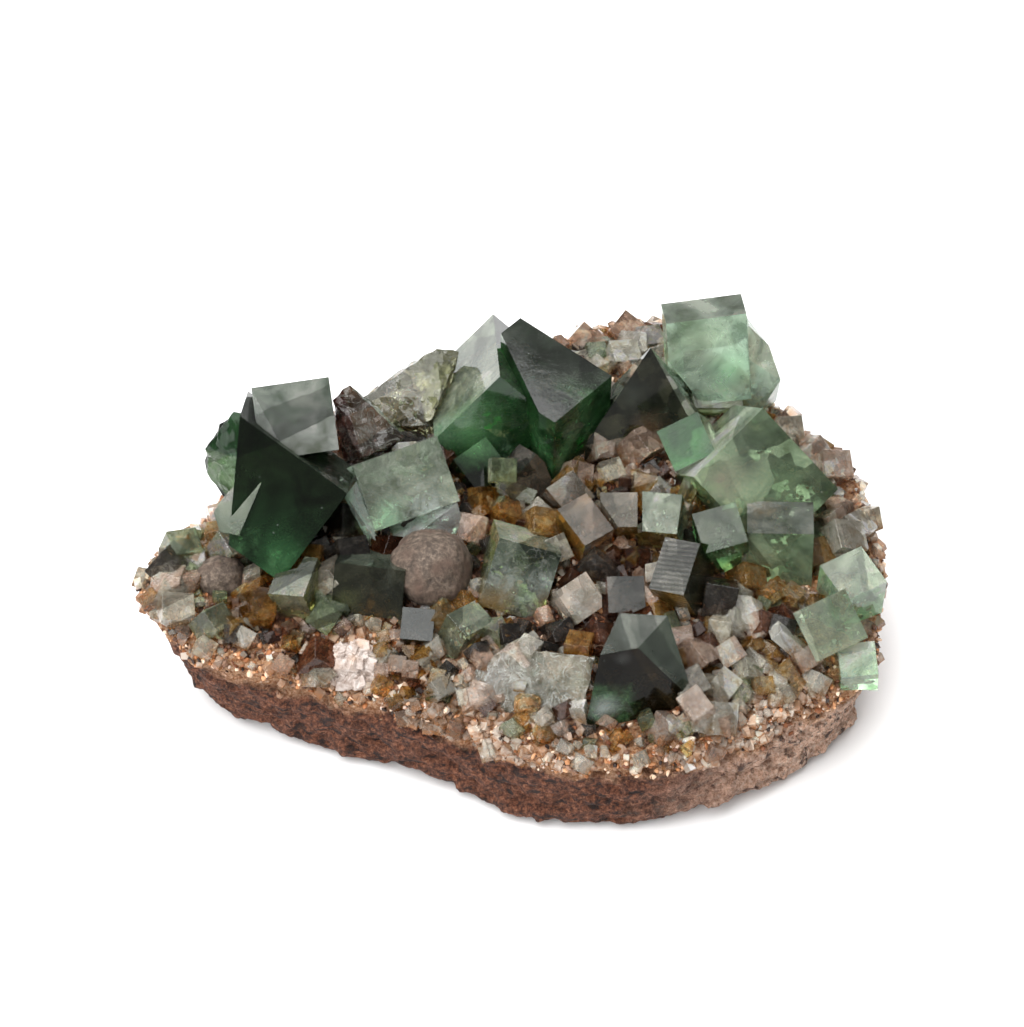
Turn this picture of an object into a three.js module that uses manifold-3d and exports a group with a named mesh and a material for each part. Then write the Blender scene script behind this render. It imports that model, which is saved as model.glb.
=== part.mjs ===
// Fluorite specimen: green cubes on a flat-bottomed piece of brown rock, with a crust of small crystals.
// Millimetres, +Z up, the rock rests on z = 0, -Y is the front, +X the right.
import * as THREE from 'three';
import { mergeVertices } from 'three/addons/utils/BufferGeometryUtils.js';
import { ConvexGeometry } from 'three/addons/geometries/ConvexGeometry.js';
import Module from 'manifold-3d';

const wasm = await Module();
wasm.setup();
const { Manifold, Mesh } = wasm;

// Driving dimensions
const RIM_HEIGHT_FRONT = 5.6;
const RIM_HEIGHT_BACK = 8.2;
const DOME_HEIGHT = 2.6;
const GAP = 0.3;
const FINEST_DETAIL = 0.1;
const SEGMENTS_AROUND = 54;
const CRYSTALS_PER_CLUSTER = 5;
const DRUSE_SPREAD = 2.6;

// Plan of the rock seen from above, anticlockwise from the left tip: the rim and, below it, the flat base
const RIM_PLAN = [
  [-23.5, -3.2], [-22.4, -6.6], [-20.2, -9.2], [-17.0, -9.8], [-14.2, -10.4], [-10.9, -11.0], [-8.1, -12.0],
  [-6.2, -13.0], [-3.4, -14.2], [-0.8, -15.6], [2.4, -17.0], [6.8, -17.2], [11.6, -15.8], [15.6, -13.6],
  [18.4, -12.4], [21.2, -11.4], [22.6, -9.4], [23.0, -5.8], [23.2, -1.6], [23.0, 1.4], [22.0, 4.4],
  [21.0, 6.9], [19.2, 8.6], [17.4, 10.4], [16.2, 13.2], [14.6, 16.6], [11.6, 18.8], [8.0, 19.0],
  [4.4, 17.6], [0.6, 16.4], [-3.4, 14.6], [-7.6, 12.6], [-11.4, 10.6], [-15.2, 8.2], [-17.8, 5.0],
  [-19.4, 1.6], [-21.8, -0.6],
];
const BASE_PLAN = [
  [-20.6, -3.6], [-19.6, -6.0], [-18.2, -7.6], [-16.2, -9.4], [-13.2, -10.6], [-10.2, -11.8], [-7.6, -12.8],
  [-5.2, -13.6], [-3.2, -14.8], [-0.4, -16.2], [2.6, -17.2], [6.8, -17.6], [11.6, -16.8], [16.0, -14.6],
  [19.0, -12.2], [20.4, -10.6], [21.2, -8.6], [21.8, -5.4], [22.0, -1.8], [21.6, 1.0], [20.8, 3.8],
  [19.6, 6.0], [18.0, 7.6], [16.4, 9.4], [15.0, 12.0], [13.4, 15.2], [10.8, 17.2], [7.8, 17.6],
  [4.4, 16.2], [0.8, 15.0], [-3.0, 13.2], [-7.0, 11.2], [-10.6, 9.2], [-14.0, 6.8], [-16.4, 4.0],
  [-18.0, 1.0], [-19.8, -1.4],
];

const material = (name, color, roughness) => {
  const made = new THREE.MeshStandardMaterial({ color, roughness, metalness: 0 });
  made.name = name;
  return made;
};
const ROCK = material('brown_rock', 0x7d5b4c, 0.95);
const DRUSE = material('druse', 0x8d8468, 0.35);
const GREEN = material('green_fluorite', 0x2f6b48, 0.12);
const DARK = material('dark_fluorite', 0x27332c, 0.15);
const PALE = material('pale_fluorite', 0xa9c7b0, 0.15);
const AMBER = material('amber_fluorite', 0xa58a5e, 0.2);
const NODULE = material('grey_nodule', 0x766660, 0.9);
const QUARTZ = material('white_quartz', 0xe0d6d0, 0.5);

const radians = THREE.MathUtils.degToRad;

// A seeded stream of numbers from 0 to 1
function randomStream(seed) {
  let state = seed;
  return () => {
    state = (state * 1664525 + 1013904223) % 4294967296;
    return state / 4294967296;
  };
}

// Irregular but repeatable unevenness, about -1 to 1, that changes over a few millimetres
function unevenness(x, y, z, wave) {
  const a = Math.sin(x / wave * 2.1 + 1.3 * Math.sin(y / wave * 1.7 + 0.6) + z / wave * 1.9);
  const b = Math.sin(y / wave * 2.6 - 1.1 * Math.sin(z / wave * 2.3 + 2.0) + x / wave * 0.8 + 4.0);
  const c = Math.sin((x + y - z) / wave * 3.7 + 2.2 * Math.sin(x / wave * 1.3));
  return (a + b + 0.8 * c) / 2.8;
}

function solidFrom(geometry) {
  const plain = geometry.clone();
  plain.deleteAttribute('normal');
  plain.deleteAttribute('uv');
  const merged = mergeVertices(plain, 1e-4);
  return new Manifold(new Mesh({
    numProp: 3,
    vertProperties: new Float32Array(merged.attributes.position.array),
    triVerts: new Uint32Array(merged.index.array),
  }));
}

function geometryFrom(solid) {
  const mesh = solid.getMesh();
  const geometry = new THREE.BufferGeometry();
  geometry.setAttribute('position', new THREE.BufferAttribute(new Float32Array(mesh.vertProperties), 3));
  geometry.setIndex(new THREE.BufferAttribute(new Uint32Array(mesh.triVerts), 1));
  return geometry;
}

// The point at a share (0 to 1) of the way round a closed plan
function pointAround(plan, share) {
  const place = share * plan.length;
  const first = plan[Math.floor(place) % plan.length];
  const second = plan[(Math.floor(place) + 1) % plan.length];
  const part = place - Math.floor(place);
  return [first[0] + (second[0] - first[0]) * part, first[1] + (second[1] - first[1]) * part];
}

// Height of the rock's upper surface: low at the front rim, domed over the middle
function topHeight(x, y, inward) {
  const backward = THREE.MathUtils.smoothstep(y, -14, 10);
  const rim = RIM_HEIGHT_FRONT + (RIM_HEIGHT_BACK - RIM_HEIGHT_FRONT) * backward;
  const dome = DOME_HEIGHT * Math.sin(Math.PI / 2 * Math.min(1, inward * 1.5));
  return rim + dome * (1 - 0.35 * backward) + 0.35 * unevenness(x, y, 0, 4.5) * Math.min(1, inward * 4);
}

// One ring of points for each level of the rock, from the base's middle over the side to the top's middle
function rockRings(lift) {
  const rings = [];
  const sideLevels = [0.04, 0.2, 0.4, 0.62, 0.84];
  const topLevels = [0, 0.12, 0.28, 0.48, 0.72];
  const ring = (placeOf) => {
    const points = [];
    for (let i = 0; i < SEGMENTS_AROUND; i += 1) {
      points.push(placeOf(i / SEGMENTS_AROUND, i));
    }
    rings.push(points);
  };
  ring((share) => {
    const [x, y] = pointAround(BASE_PLAN, share);
    return [x * 0.9, y * 0.9, -lift];
  });
  for (const level of sideLevels) {
    ring((share) => {
      const base = pointAround(BASE_PLAN, share);
      const rim = pointAround(RIM_PLAN, share);
      const x = base[0] + (rim[0] - base[0]) * level ** 1.5;
      const y = base[1] + (rim[1] - base[1]) * level ** 1.5;
      const height = topHeight(rim[0], rim[1], 0) * level;
      const ledge = 0.35 * Math.sin(height * 2.4 + 2 * unevenness(x, y, 0, 6));
      const out = 1 + (0.4 * unevenness(x, y, height, 2.2) + ledge) / 20 + lift / 13;
      return [x * out, y * out, height + 0.35 + 0.25 * unevenness(y, x, height, 1.8)];
    });
  }
  for (const inward of topLevels) {
    ring((share) => {
      const rim = pointAround(RIM_PLAN, share);
      const x = rim[0] * (1 - inward);
      const y = rim[1] * (1 - inward);
      const out = inward === 0 ? 1 + 0.25 * unevenness(x, y, 3, 1.9) / 20 + lift / 13 : 1;
      return [x * out, y * out, topHeight(x, y, inward) + lift];
    });
  }
  return rings;
}

// Closed surface over a stack of rings, with a fan over the first ring and one over the last
function surfaceOver(rings) {
  const positions = rings.flat(2);
  const triangles = [];
  const count = SEGMENTS_AROUND;
  for (let level = 0; level < rings.length - 1; level += 1) {
    for (let i = 0; i < count; i += 1) {
      const next = (i + 1) % count;
      const a = level * count + i;
      const b = level * count + next;
      const c = (level + 1) * count + next;
      const d = (level + 1) * count + i;
      triangles.push(a, b, c, a, c, d);
    }
  }
  const fan = (ring, level, reversed) => {
    const middle = positions.length / 3;
    const height = ring.reduce((sum, point) => sum + point[2], 0) / count;
    positions.push(0, 0, height);
    for (let i = 0; i < count; i += 1) {
      const a = level * count + i;
      const b = level * count + (i + 1) % count;
      triangles.push(middle, reversed ? b : a, reversed ? a : b);
    }
  };
  fan(rings[0], 0, true);
  fan(rings[rings.length - 1], rings.length - 1, false);
  const geometry = new THREE.BufferGeometry();
  geometry.setAttribute('position', new THREE.Float32BufferAttribute(positions, 3));
  geometry.setIndex(triangles);
  return geometry;
}

// Rotation of a crystal: spun about its own axis, leaned over, then turned towards the side it leans to
function attitude(turn, lean, spin) {
  const matrix = new THREE.Matrix4().makeRotationZ(radians(turn));
  matrix.multiply(new THREE.Matrix4().makeRotationX(radians(lean)));
  matrix.multiply(new THREE.Matrix4().makeRotationZ(radians(spin)));
  return matrix;
}

function cuboid(centre, size, [turn, lean, spin], grown = 0) {
  const [a, b, c] = size.map((edge) => edge + 2 * grown);
  const geometry = new THREE.BoxGeometry(a, b, c);
  geometry.applyMatrix4(attitude(turn, lean, spin));
  geometry.translate(...centre);
  return solidFrom(geometry);
}

// A broken crystal: the convex shape around its corners
function shard(corners, grown = 0) {
  const points = corners.map((corner) => new THREE.Vector3(...corner));
  const middle = points.reduce((sum, point) => sum.add(point), new THREE.Vector3()).divideScalar(points.length);
  const moved = points.map((point) => {
    const outward = point.clone().sub(middle);
    return point.clone().add(outward.normalize().multiplyScalar(grown * 1.6));
  });
  return solidFrom(new ConvexGeometry(moved));
}

// A rounded, slightly lumpy nodule
function nodule(centre, radii, detail, grown = 0) {
  const geometry = new THREE.IcosahedronGeometry(1, detail);
  const spots = geometry.attributes.position;
  for (let i = 0; i < spots.count; i += 1) {
    const [x, y, z] = [spots.getX(i), spots.getY(i), spots.getZ(i)];
    const lump = 1 + 0.07 * unevenness(x, y, z, 0.9);
    spots.setXYZ(i, x * lump * (radii[0] + grown), y * lump * (radii[1] + grown), z * lump * (radii[2] + grown));
  }
  geometry.translate(...centre);
  return solidFrom(geometry);
}

const cube = (centre, size, angles) => ({ build: (grown) => cuboid(centre, size, angles, grown) });
const broken = (...corners) => ({ build: (grown) => shard(corners, grown) });
const lump = (centre, radii, detail) => ({ build: (grown) => nodule(centre, radii, detail, grown) });

// A cube kept only beyond a plane, which is given by its direction and its distance from the origin
const cut = (shape, direction, distance) => ({
  build: (grown) => {
    const whole = shape.build(grown);
    return whole.trimByPlane(direction, distance - grown);
  },
});

// Every large crystal: its name, its material and the shapes that are grown together in it.
// A cube has its centre, its edges and three angles: the side it leans to, how far, and its own spin.
const CRYSTALS = [
  ['crystal_cluster_left', GREEN, [
    cube([-13.4, 2.1, 16.2], [4.8, 4.5, 4.6], [3, 44, 6]),
    cut(cube([-15.4, -0.22, 12.69], [8.3, 6.0, 7.1], [123, 45, 44]), [0.995, -0.074, -0.072], -17.9),
    broken([-15.4, -2.3, 15.1], [-16.8, -4.2, 12.4], [-18.0, -3.6, 12.1], [-18.4, -2.9, 13.1],
      [-17.9, -2.5, 13.8], [-16.8, -1.9, 14.9], [-15.6, 0, 12.8], [-16.9, -1.6, 9.9], [-18.2, -0.8, 10.7]),
    broken([-17.4, 4.5, 14.5], [-18.2, 4.3, 13.5], [-19.2, 3.2, 12.5], [-19.2, 3.2, 11.5], [-18.9, 2.4, 10.5],
      [-17.9, 1.6, 10], [-16, 1.6, 13], [-15.5, 3.5, 15], [-17, 7, 12], [-18.5, 6, 8.5], [-17, 1, 8.5]),
  ]],
  ['crystal_twin_centre', GREEN, [
    cube([-1.3, 9.2, 11.0], [8.8, 4.8, 6.0], [110, 47, -24]),
    cut(cube([1.5, 7.2, 12.3], [5.5, 7.6, 6.6], [53, 2, -4]), [0.945, 0.327, 0], 2.7),
    cube([-2.1, 3.4, 10.4], [2.6, 2.6, 2.6], [20, 30, 20]),
  ]],
  ['crystal_dark_peak', DARK, [
    broken([8.7, 8.2, 16.5], [4.6, 4.5, 11.5], [11.8, 6.4, 12], [11.3, 6.1, 12], [8.6, 5.2, 11], [5, 9.4, 10],
      [12, 10, 10], [4.5, 4.6, 8], [12, 6, 8], [8.6, 4.6, 8]),
  ]],
  ['crystal_pale_back_right', PALE, [
    cube([12.3, 9.9, 14.5], [5.1, 2.3, 6.5], [-156, 11, -17]),
    cube([13.0, 12.2, 11.6], [4.6, 4.6, 5.0], [-156, 11, -17]),
    broken([15, 11.2, 15.5], [16.3, 11, 14], [17.1, 9.9, 12], [16.4, 10.2, 10.5], [15.2, 8.8, 10.5], [15, 13, 14.5],
      [16.5, 13, 12], [17, 11.5, 8.5], [15, 8.6, 8.5], [14, 13.5, 8.5], [13.5, 10, 15]),
  ]],
  ['crystal_cluster_right', GREEN, [
    cube([15.0, 2.3, 10.6], [6.1, 7.0, 7.4], [16, 48, 33]),
    cube([11.3, 3.6, 12.4], [2.8, 2.8, 4.2], [-20, 40, 40]),
    cube([16.6, -2.8, 9.9], [4.1, 2.9, 5.0], [-169, 3, -13]),
  ]],
  ['crystal_pale_left', PALE, [
    cube([-6.9, 1.4, 11.2], [5.6, 4.3, 4.8], [12, 44, 11]),
    broken([-11.1, 0.6, 12.8], [-10.0, 0.6, 13.6], [-8.3, -2.9, 10.2], [-10.7, 0.1, 12.0], [-9.5, -0.6, 10],
      [-8.8, 1.5, 10.6], [-8.6, -2.7, 9.3]),
    broken([-8.4, -2.5, 11], [-3.4, -0.7, 11.7], [-3.0, -1.0, 9.8], [-4.2, -1.7, 9.2], [-7.6, -2.9, 9.3],
      [-7.0, 0.8, 8.6], [-3.8, 1.1, 9.0]),
  ]],
  ['crystal_dark_left', DARK, [
    broken([-10.6, 6.0, 15], [-10.2, 6.3, 15], [-8.4, 5.8, 13.5], [-6.9, 4.2, 12.5], [-7.0, 4.1, 11.5],
      [-9.3, 2.0, 12.5], [-11.2, 5.5, 14.5], [-11, 6.5, 8.5], [-9, 8, 10], [-7, 5.5, 8.5], [-7.2, 3.6, 8.5],
      [-10, 2.2, 8.5]),
  ]],
  ['crystal_broken_back', PALE, [
    broken([-9.4, 8.8, 11.5], [-6.9, 11.1, 12], [-4.8, 11.2, 13.5], [-3.4, 11.4, 13], [-4.5, 7.9, 12.5],
      [-5.3, 6.7, 11], [-7.6, 7.2, 10.5], [-9, 8, 8], [-7, 12.4, 8], [-4, 12.6, 8], [-4.5, 7, 8]),
  ]],
  ['crystal_green_front', GREEN, [
    cube([0.3, -4.6, 9.7], [4.0, 4.5, 4.2], [6, 60, -20]),
  ]],
  ['crystal_striated', DARK, [
    cube([10.5, -5.8, 10.2], [2.3, 3.5, 4.1], [-40, 25, 19]),
  ]],
  ['crystal_dark_front', DARK, [
    broken([7.6, -13.2, 12], [5.3, -13.7, 11.9], [11.2, -13.3, 7.1], [4.4, -15.2, 6.6], [9.4, -11.3, 12.8],
      [6.5, -11, 12.7], [11, -12.8, 5.2], [4.8, -14.4, 5.2], [10.8, -10.5, 6], [5, -10, 6]),
  ]],
  ['crystal_prism_right', PALE, [
    cube([12.9, -3.4, 11.2], [2.8, 2.8, 3.6], [-10, 20, 25]),
  ]],
  ['crystal_pale_edge_right', PALE, [
    cube([19.6, -8.4, 8.9], [3.5, 3.3, 3.8], [-6, 45, 30]),
    cube([21.0, -5.2, 8.6], [3.0, 3.0, 3.6], [10, 10, 20]),
    cube([21.2, -10.6, 7.4], [2.3, 2.2, 2.6], [-8, 20, 12]),
  ]],
  ['crystal_grey_peak', AMBER, [
    cube([0.8, 2.6, 10.3], [2.3, 3.1, 2.7], [-95, 37, 42]),
  ]],
  ['crystal_pink_middle', AMBER, [
    cube([3.4, 0.6, 10.6], [2.2, 2.2, 2.4], [30, 24, 12]),
  ]],
  ['crystal_amber_middle', AMBER, [
    cube([4.4, -2.1, 10.3], [2.2, 3.0, 4.0], [16, 16, 19]),
  ]],
  ['crystal_tall_middle', PALE, [
    cube([6.7, -1.0, 10.6], [2.3, 2.2, 4.4], [-5, 30, 4]),
  ]],
  ['crystal_clear_middle', PALE, [
    cube([9.3, -1.6, 10.8], [2.7, 2.6, 3.8], [-20, 25, 10]),
  ]],
  ['crystal_dark_middle', DARK, [
    cube([6.9, -6.6, 9.2], [2.3, 2.3, 2.4], [12, 28, -8]),
  ]],
  ['crystal_white_front', PALE, [
    cube([3.9, -6.7, 9.1], [2.4, 2.4, 2.6], [30, 35, 10]),
  ]],
  ['crystal_smoky_left', DARK, [
    cube([-8.6, -5.2, 9.2], [4.4, 3.4, 3.2], [170, 29, 0]),
  ]],
  ['crystal_yellow_left', AMBER, [
    cube([-13.0, -5.7, 8.6], [3.0, 2.4, 4.1], [-70, 15, -37]),
  ]],
  ['crystal_pale_front', PALE, [
    cube([-3.0, -8.7, 8.4], [2.4, 1.9, 3.2], [78, 18, -35]),
  ]],
  ['crystal_blue_grey_front', DARK, [
    cube([-5.8, -8.1, 8.2], [2.0, 2.0, 2.4], [0, 30, -5]),
  ]],
  ['crystal_broken_front', QUARTZ, [
    broken([-0.6, -10.9, 9.3], [2.1, -11.2, 9.5], [5.4, -11.6, 9.3], [5.2, -13.2, 8.3], [4.5, -13.7, 7],
      [1.8, -15.4, 6.2], [-3.2, -11.8, 7.2], [-2.5, -11, 5.5], [1.5, -15, 5], [4.8, -13.4, 5.5], [5.2, -11.2, 5.5]),
  ]],
  ['quartz_patch', QUARTZ, [
    lump([-9.8, -9.8, 6.9], [1.9, 1.3, 1.0], 1),
    cube([-10.6, -9.9, 7.2], [1.4, 1.2, 1.5], [30, 20, 10]),
    cube([-9.0, -9.4, 7.4], [1.5, 1.3, 1.3], [-40, 30, 40]),
  ]],
  ['grey_nodule_large', NODULE, [
    lump([-5.1, -4.6, 9.8], [2.8, 2.6, 2.4], 2),
  ]],
  ['grey_nodule_small', NODULE, [
    lump([-18.0, -3.8, 8.2], [1.6, 1.4, 1.4], 1),
  ]],
];

// Druse: clusters of small crystals, each cluster grown together round a middle on the rock's upper surface.
// The middles run along the front rim, round the right side and the back, and then over the inside.
const DRUSE_MIDDLES = [
  [-20.6, -4.4], [-18.0, -6.8], [-14.4, -8.2], [-6.4, -10.6], [-2.6, -13.0], [2.4, -15.0], [7.0, -15.2],
  [11.8, -13.2], [15.8, -11.2], [20.8, -2.0], [20.2, 2.0], [18.4, 5.2], [15.4, 8.0],
  [10.4, 15.0], [6.4, 14.0], [2.6, 12.6], [-11.2, 7.4], [-18.2, -1.4],
  [-1.0, -7.9], [11.6, -8.6], [15.4, -7.4], [1.2, 0.2], [-16.2, -4.2],
];

function druseCluster(middle, seed, grown = 0) {
  const next = randomStream(seed * 977 + 41);
  const between = (low, high) => low + (high - low) * next();
  const cubes = [];
  for (let i = 0; i < CRYSTALS_PER_CLUSTER; i += 1) {
    const away = DRUSE_SPREAD * Math.sqrt(i / CRYSTALS_PER_CLUSTER);
    const side = i * 2.4 + seed;
    const x = middle[0] + away * Math.cos(side);
    const y = middle[1] + away * Math.sin(side);
    const edge = between(1.3, 2.5);
    const inward = 1 - Math.hypot(...middle) / 24;
    const centre = [x, y, topHeight(x, y, Math.max(0, inward)) + edge * between(0.25, 0.5)];
    const angles = [between(-180, 180), between(5, 45), between(-45, 45)];
    cubes.push(cuboid(centre, [edge, edge * between(0.8, 1), edge * between(0.9, 1.3)], angles, grown));
  }
  return Manifold.union(cubes);
}

// The largest single body of a solid: splinters that a cut leaves behind are dropped
function mainBody(solid) {
  const bodies = solid.decompose();
  return bodies.reduce((best, body) => (body.volume() > best.volume() ? body : best));
}

const rock = solidFrom(surfaceOver(rockRings(0)));
const rockWithGap = solidFrom(surfaceOver(rockRings(GAP)));
const specimen = new THREE.Group();
specimen.name = 'fluorite_specimen';

function addPart(name, solid, surface) {
  const body = mainBody(solid.simplify(FINEST_DETAIL));
  const geometry = geometryFrom(body);
  geometry.computeBoundingBox();
  const middle = geometry.boundingBox.getCenter(new THREE.Vector3());
  geometry.translate(-middle.x, -middle.y, -middle.z);
  const mesh = new THREE.Mesh(geometry, surface);
  mesh.name = name;
  mesh.position.copy(middle);
  specimen.add(mesh);
}

addPart('rock_matrix', rock, ROCK);

let grownSoFar = rockWithGap;
for (const [name, surface, shapes] of CRYSTALS) {
  const whole = Manifold.union(shapes.map((shape) => shape.build(0)));
  const grown = Manifold.union(shapes.map((shape) => shape.build(GAP)));
  addPart(name, whole.subtract(grownSoFar), surface);
  grownSoFar = grownSoFar.add(grown);
}

DRUSE_MIDDLES.forEach((middle, i) => {
  const cluster = druseCluster(middle, i + 1);
  addPart(`druse_cluster_${i + 1}`, cluster.subtract(grownSoFar), DRUSE);
  grownSoFar = grownSoFar.add(druseCluster(middle, i + 1, GAP));
});

export default specimen;
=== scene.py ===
"""Looks of the fluorite specimen: glassy cubes and a druse of small crystals on brown rock.

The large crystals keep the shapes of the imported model. The rock, the druse, the grains and the nodules are
made finer here. Lengths are in metres; MM turns millimetres into metres.
"""
import math
import random

import bmesh
import bpy
from mathutils import Euler, Matrix, Vector, noise
from mathutils.bvhtree import BVHTree


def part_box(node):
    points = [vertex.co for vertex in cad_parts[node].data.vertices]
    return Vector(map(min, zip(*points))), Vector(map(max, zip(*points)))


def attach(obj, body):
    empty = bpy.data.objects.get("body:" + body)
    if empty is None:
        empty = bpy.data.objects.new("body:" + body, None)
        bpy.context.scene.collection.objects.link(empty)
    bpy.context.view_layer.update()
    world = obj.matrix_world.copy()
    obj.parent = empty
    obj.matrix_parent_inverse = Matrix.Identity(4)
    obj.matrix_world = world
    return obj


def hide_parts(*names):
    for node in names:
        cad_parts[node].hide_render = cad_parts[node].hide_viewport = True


MM = 0.001
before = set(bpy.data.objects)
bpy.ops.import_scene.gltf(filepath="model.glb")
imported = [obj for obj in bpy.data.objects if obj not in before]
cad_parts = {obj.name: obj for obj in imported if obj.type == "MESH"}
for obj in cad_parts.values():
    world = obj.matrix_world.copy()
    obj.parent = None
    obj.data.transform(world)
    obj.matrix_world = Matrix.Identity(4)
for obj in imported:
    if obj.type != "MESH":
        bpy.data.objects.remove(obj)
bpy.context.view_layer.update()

# Camera: the photograph's viewing angle, from the front and above
CAMERA_ELEVATION = math.radians(46)
TOWARDS_VIEWER = Vector((0, -math.cos(CAMERA_ELEVATION), math.sin(CAMERA_ELEVATION)))
CAMERA_DISTANCE = 300 * MM
CAMERA_TARGET = Vector((0, 0, 10 * MM))
FIELD_WIDTH = 64.2 * MM
SENSOR = 36.0

WORLD_STRENGTH = 0.55
FLOOR_WIDTH = 6
FLOOR_GREY = 0.86
# Lamps: name, place, width, power
LAMPS = [
    ("overhead", (-0.25, 0.15, 0.8), 1.3, 20.0),
    ("front", (-0.5, -0.7, 0.6), 0.7, 7.0),
]

FLUORITE_IOR = 1.434
QUARTZ_IOR = 1.54
# The depth over which a crystal's glass keeps the listed share of light
CLEAR_DEPTH = 5 * MM
# Attitude of the painted reflections of facets seen inside the crystals, and their size in the large ones
FACET_REFLECTION_TURN = (0.7, 0.4, 0.3)
FACET_REFLECTION_LARGE = 2.3 * MM
FACET_REFLECTION_SMALL = 1.2 * MM
# Share of the mirror reflection that the small crystals keep: the rest is dimmed away, as painted shade on
# their reflections
SMALL_REFLECTION_KEPT = 0.5
# The rock made finer: how far its top rises, the cells of its mesh and the rounds of smoothing
ROCK_RAISE = 0.45 * MM
VOXEL = 0.21 * MM
SMOOTHING_ROUNDS = 7
WELD = 0.002 * MM
# Wear of the large crystals' edges, on edges that are longer and sharper (in radians) than these
EDGE_WEAR = 0.05 * MM
LONG_EDGE = 0.5 * MM
SHARP_ANGLE = 0.4
# A face counts as a top, and takes the top tone with its painted sheen, when it looks this much the upper
# way, and as part of a listed face when it looks this much the same way and lies this near its plane
SHEEN_TOP_SHARE = 0.55
SAME_WAY = 0.97
SAME_PLANE = 0.12 * MM
# Edges left in a rippled surface, and the rounds of cutting it
RIPPLE_EDGE = 0.55 * MM
RIPPLE_ROUNDS = 4
VEILS_PER_GLOW = 9
VEIL_TRIES = 160
# Inside so many small crystals, light that turns more often adds next to nothing
LIGHT_BOUNCES = 8
# Random turns go up to a little over a full one, in radians
ANY_ANGLE = 6.3
# Lumps of the nodules, with their height as a share of the radius and how fine they are, and the half
# height of a nodule as a share of its radius
NODULE_LUMPS = ((0.09, 1.6), (0.035, 5), (0.015, 14))
NODULE_HEIGHT = 0.9

# Share of light that the glass of the small crystals lets in, and of the milkier clear and pink ones
SMALL_CLARITY = 0.9
MILKY_CLARITY = 0.8

# The rock's rim: its height at the front, and how far it climbs over the depth of the rock, in mm
RIM_FRONT = 5.6
RIM_CLIMB = 2.6
RIM_FROM_Y = -14
RIM_DEPTH = 24
# Lowest ground that carries small crystals, and grains
DRUSE_FLOOR = 4.6 * MM
GRAIN_FLOOR = 4.2 * MM
# How near the rim is near, and the share of small crystals left out there
RIM_REACH = 1.5 * MM
RIM_BARE = 0.6

# Top of a small crystal above its middle and size of one that gives way, as shares of its edge
HEAD = 0.55
SHRUNK = 0.45
# How much commoner the smaller sizes are, and beside the rim
SMALLER = 1.6
SMALLER_AT_RIM = 3
# A line through a closed shape crosses it fewer times than this, and starts again this far on
MOST_CROSSINGS = 20
STEP_ON = 1e-6
ABOVE_ALL = 50 * MM

GRAINS_BETWEEN = 6000
GRAINS_ON_RIM = 7000
SUGAR_ON_RIM = 5200
QUARTZ_BITS = 520
# Half width, half depth and height of the quartz patch, in mm
QUARTZ_WIDE = 1.7
QUARTZ_DEEP = 1.25
QUARTZ_HIGH = 1.0


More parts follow.
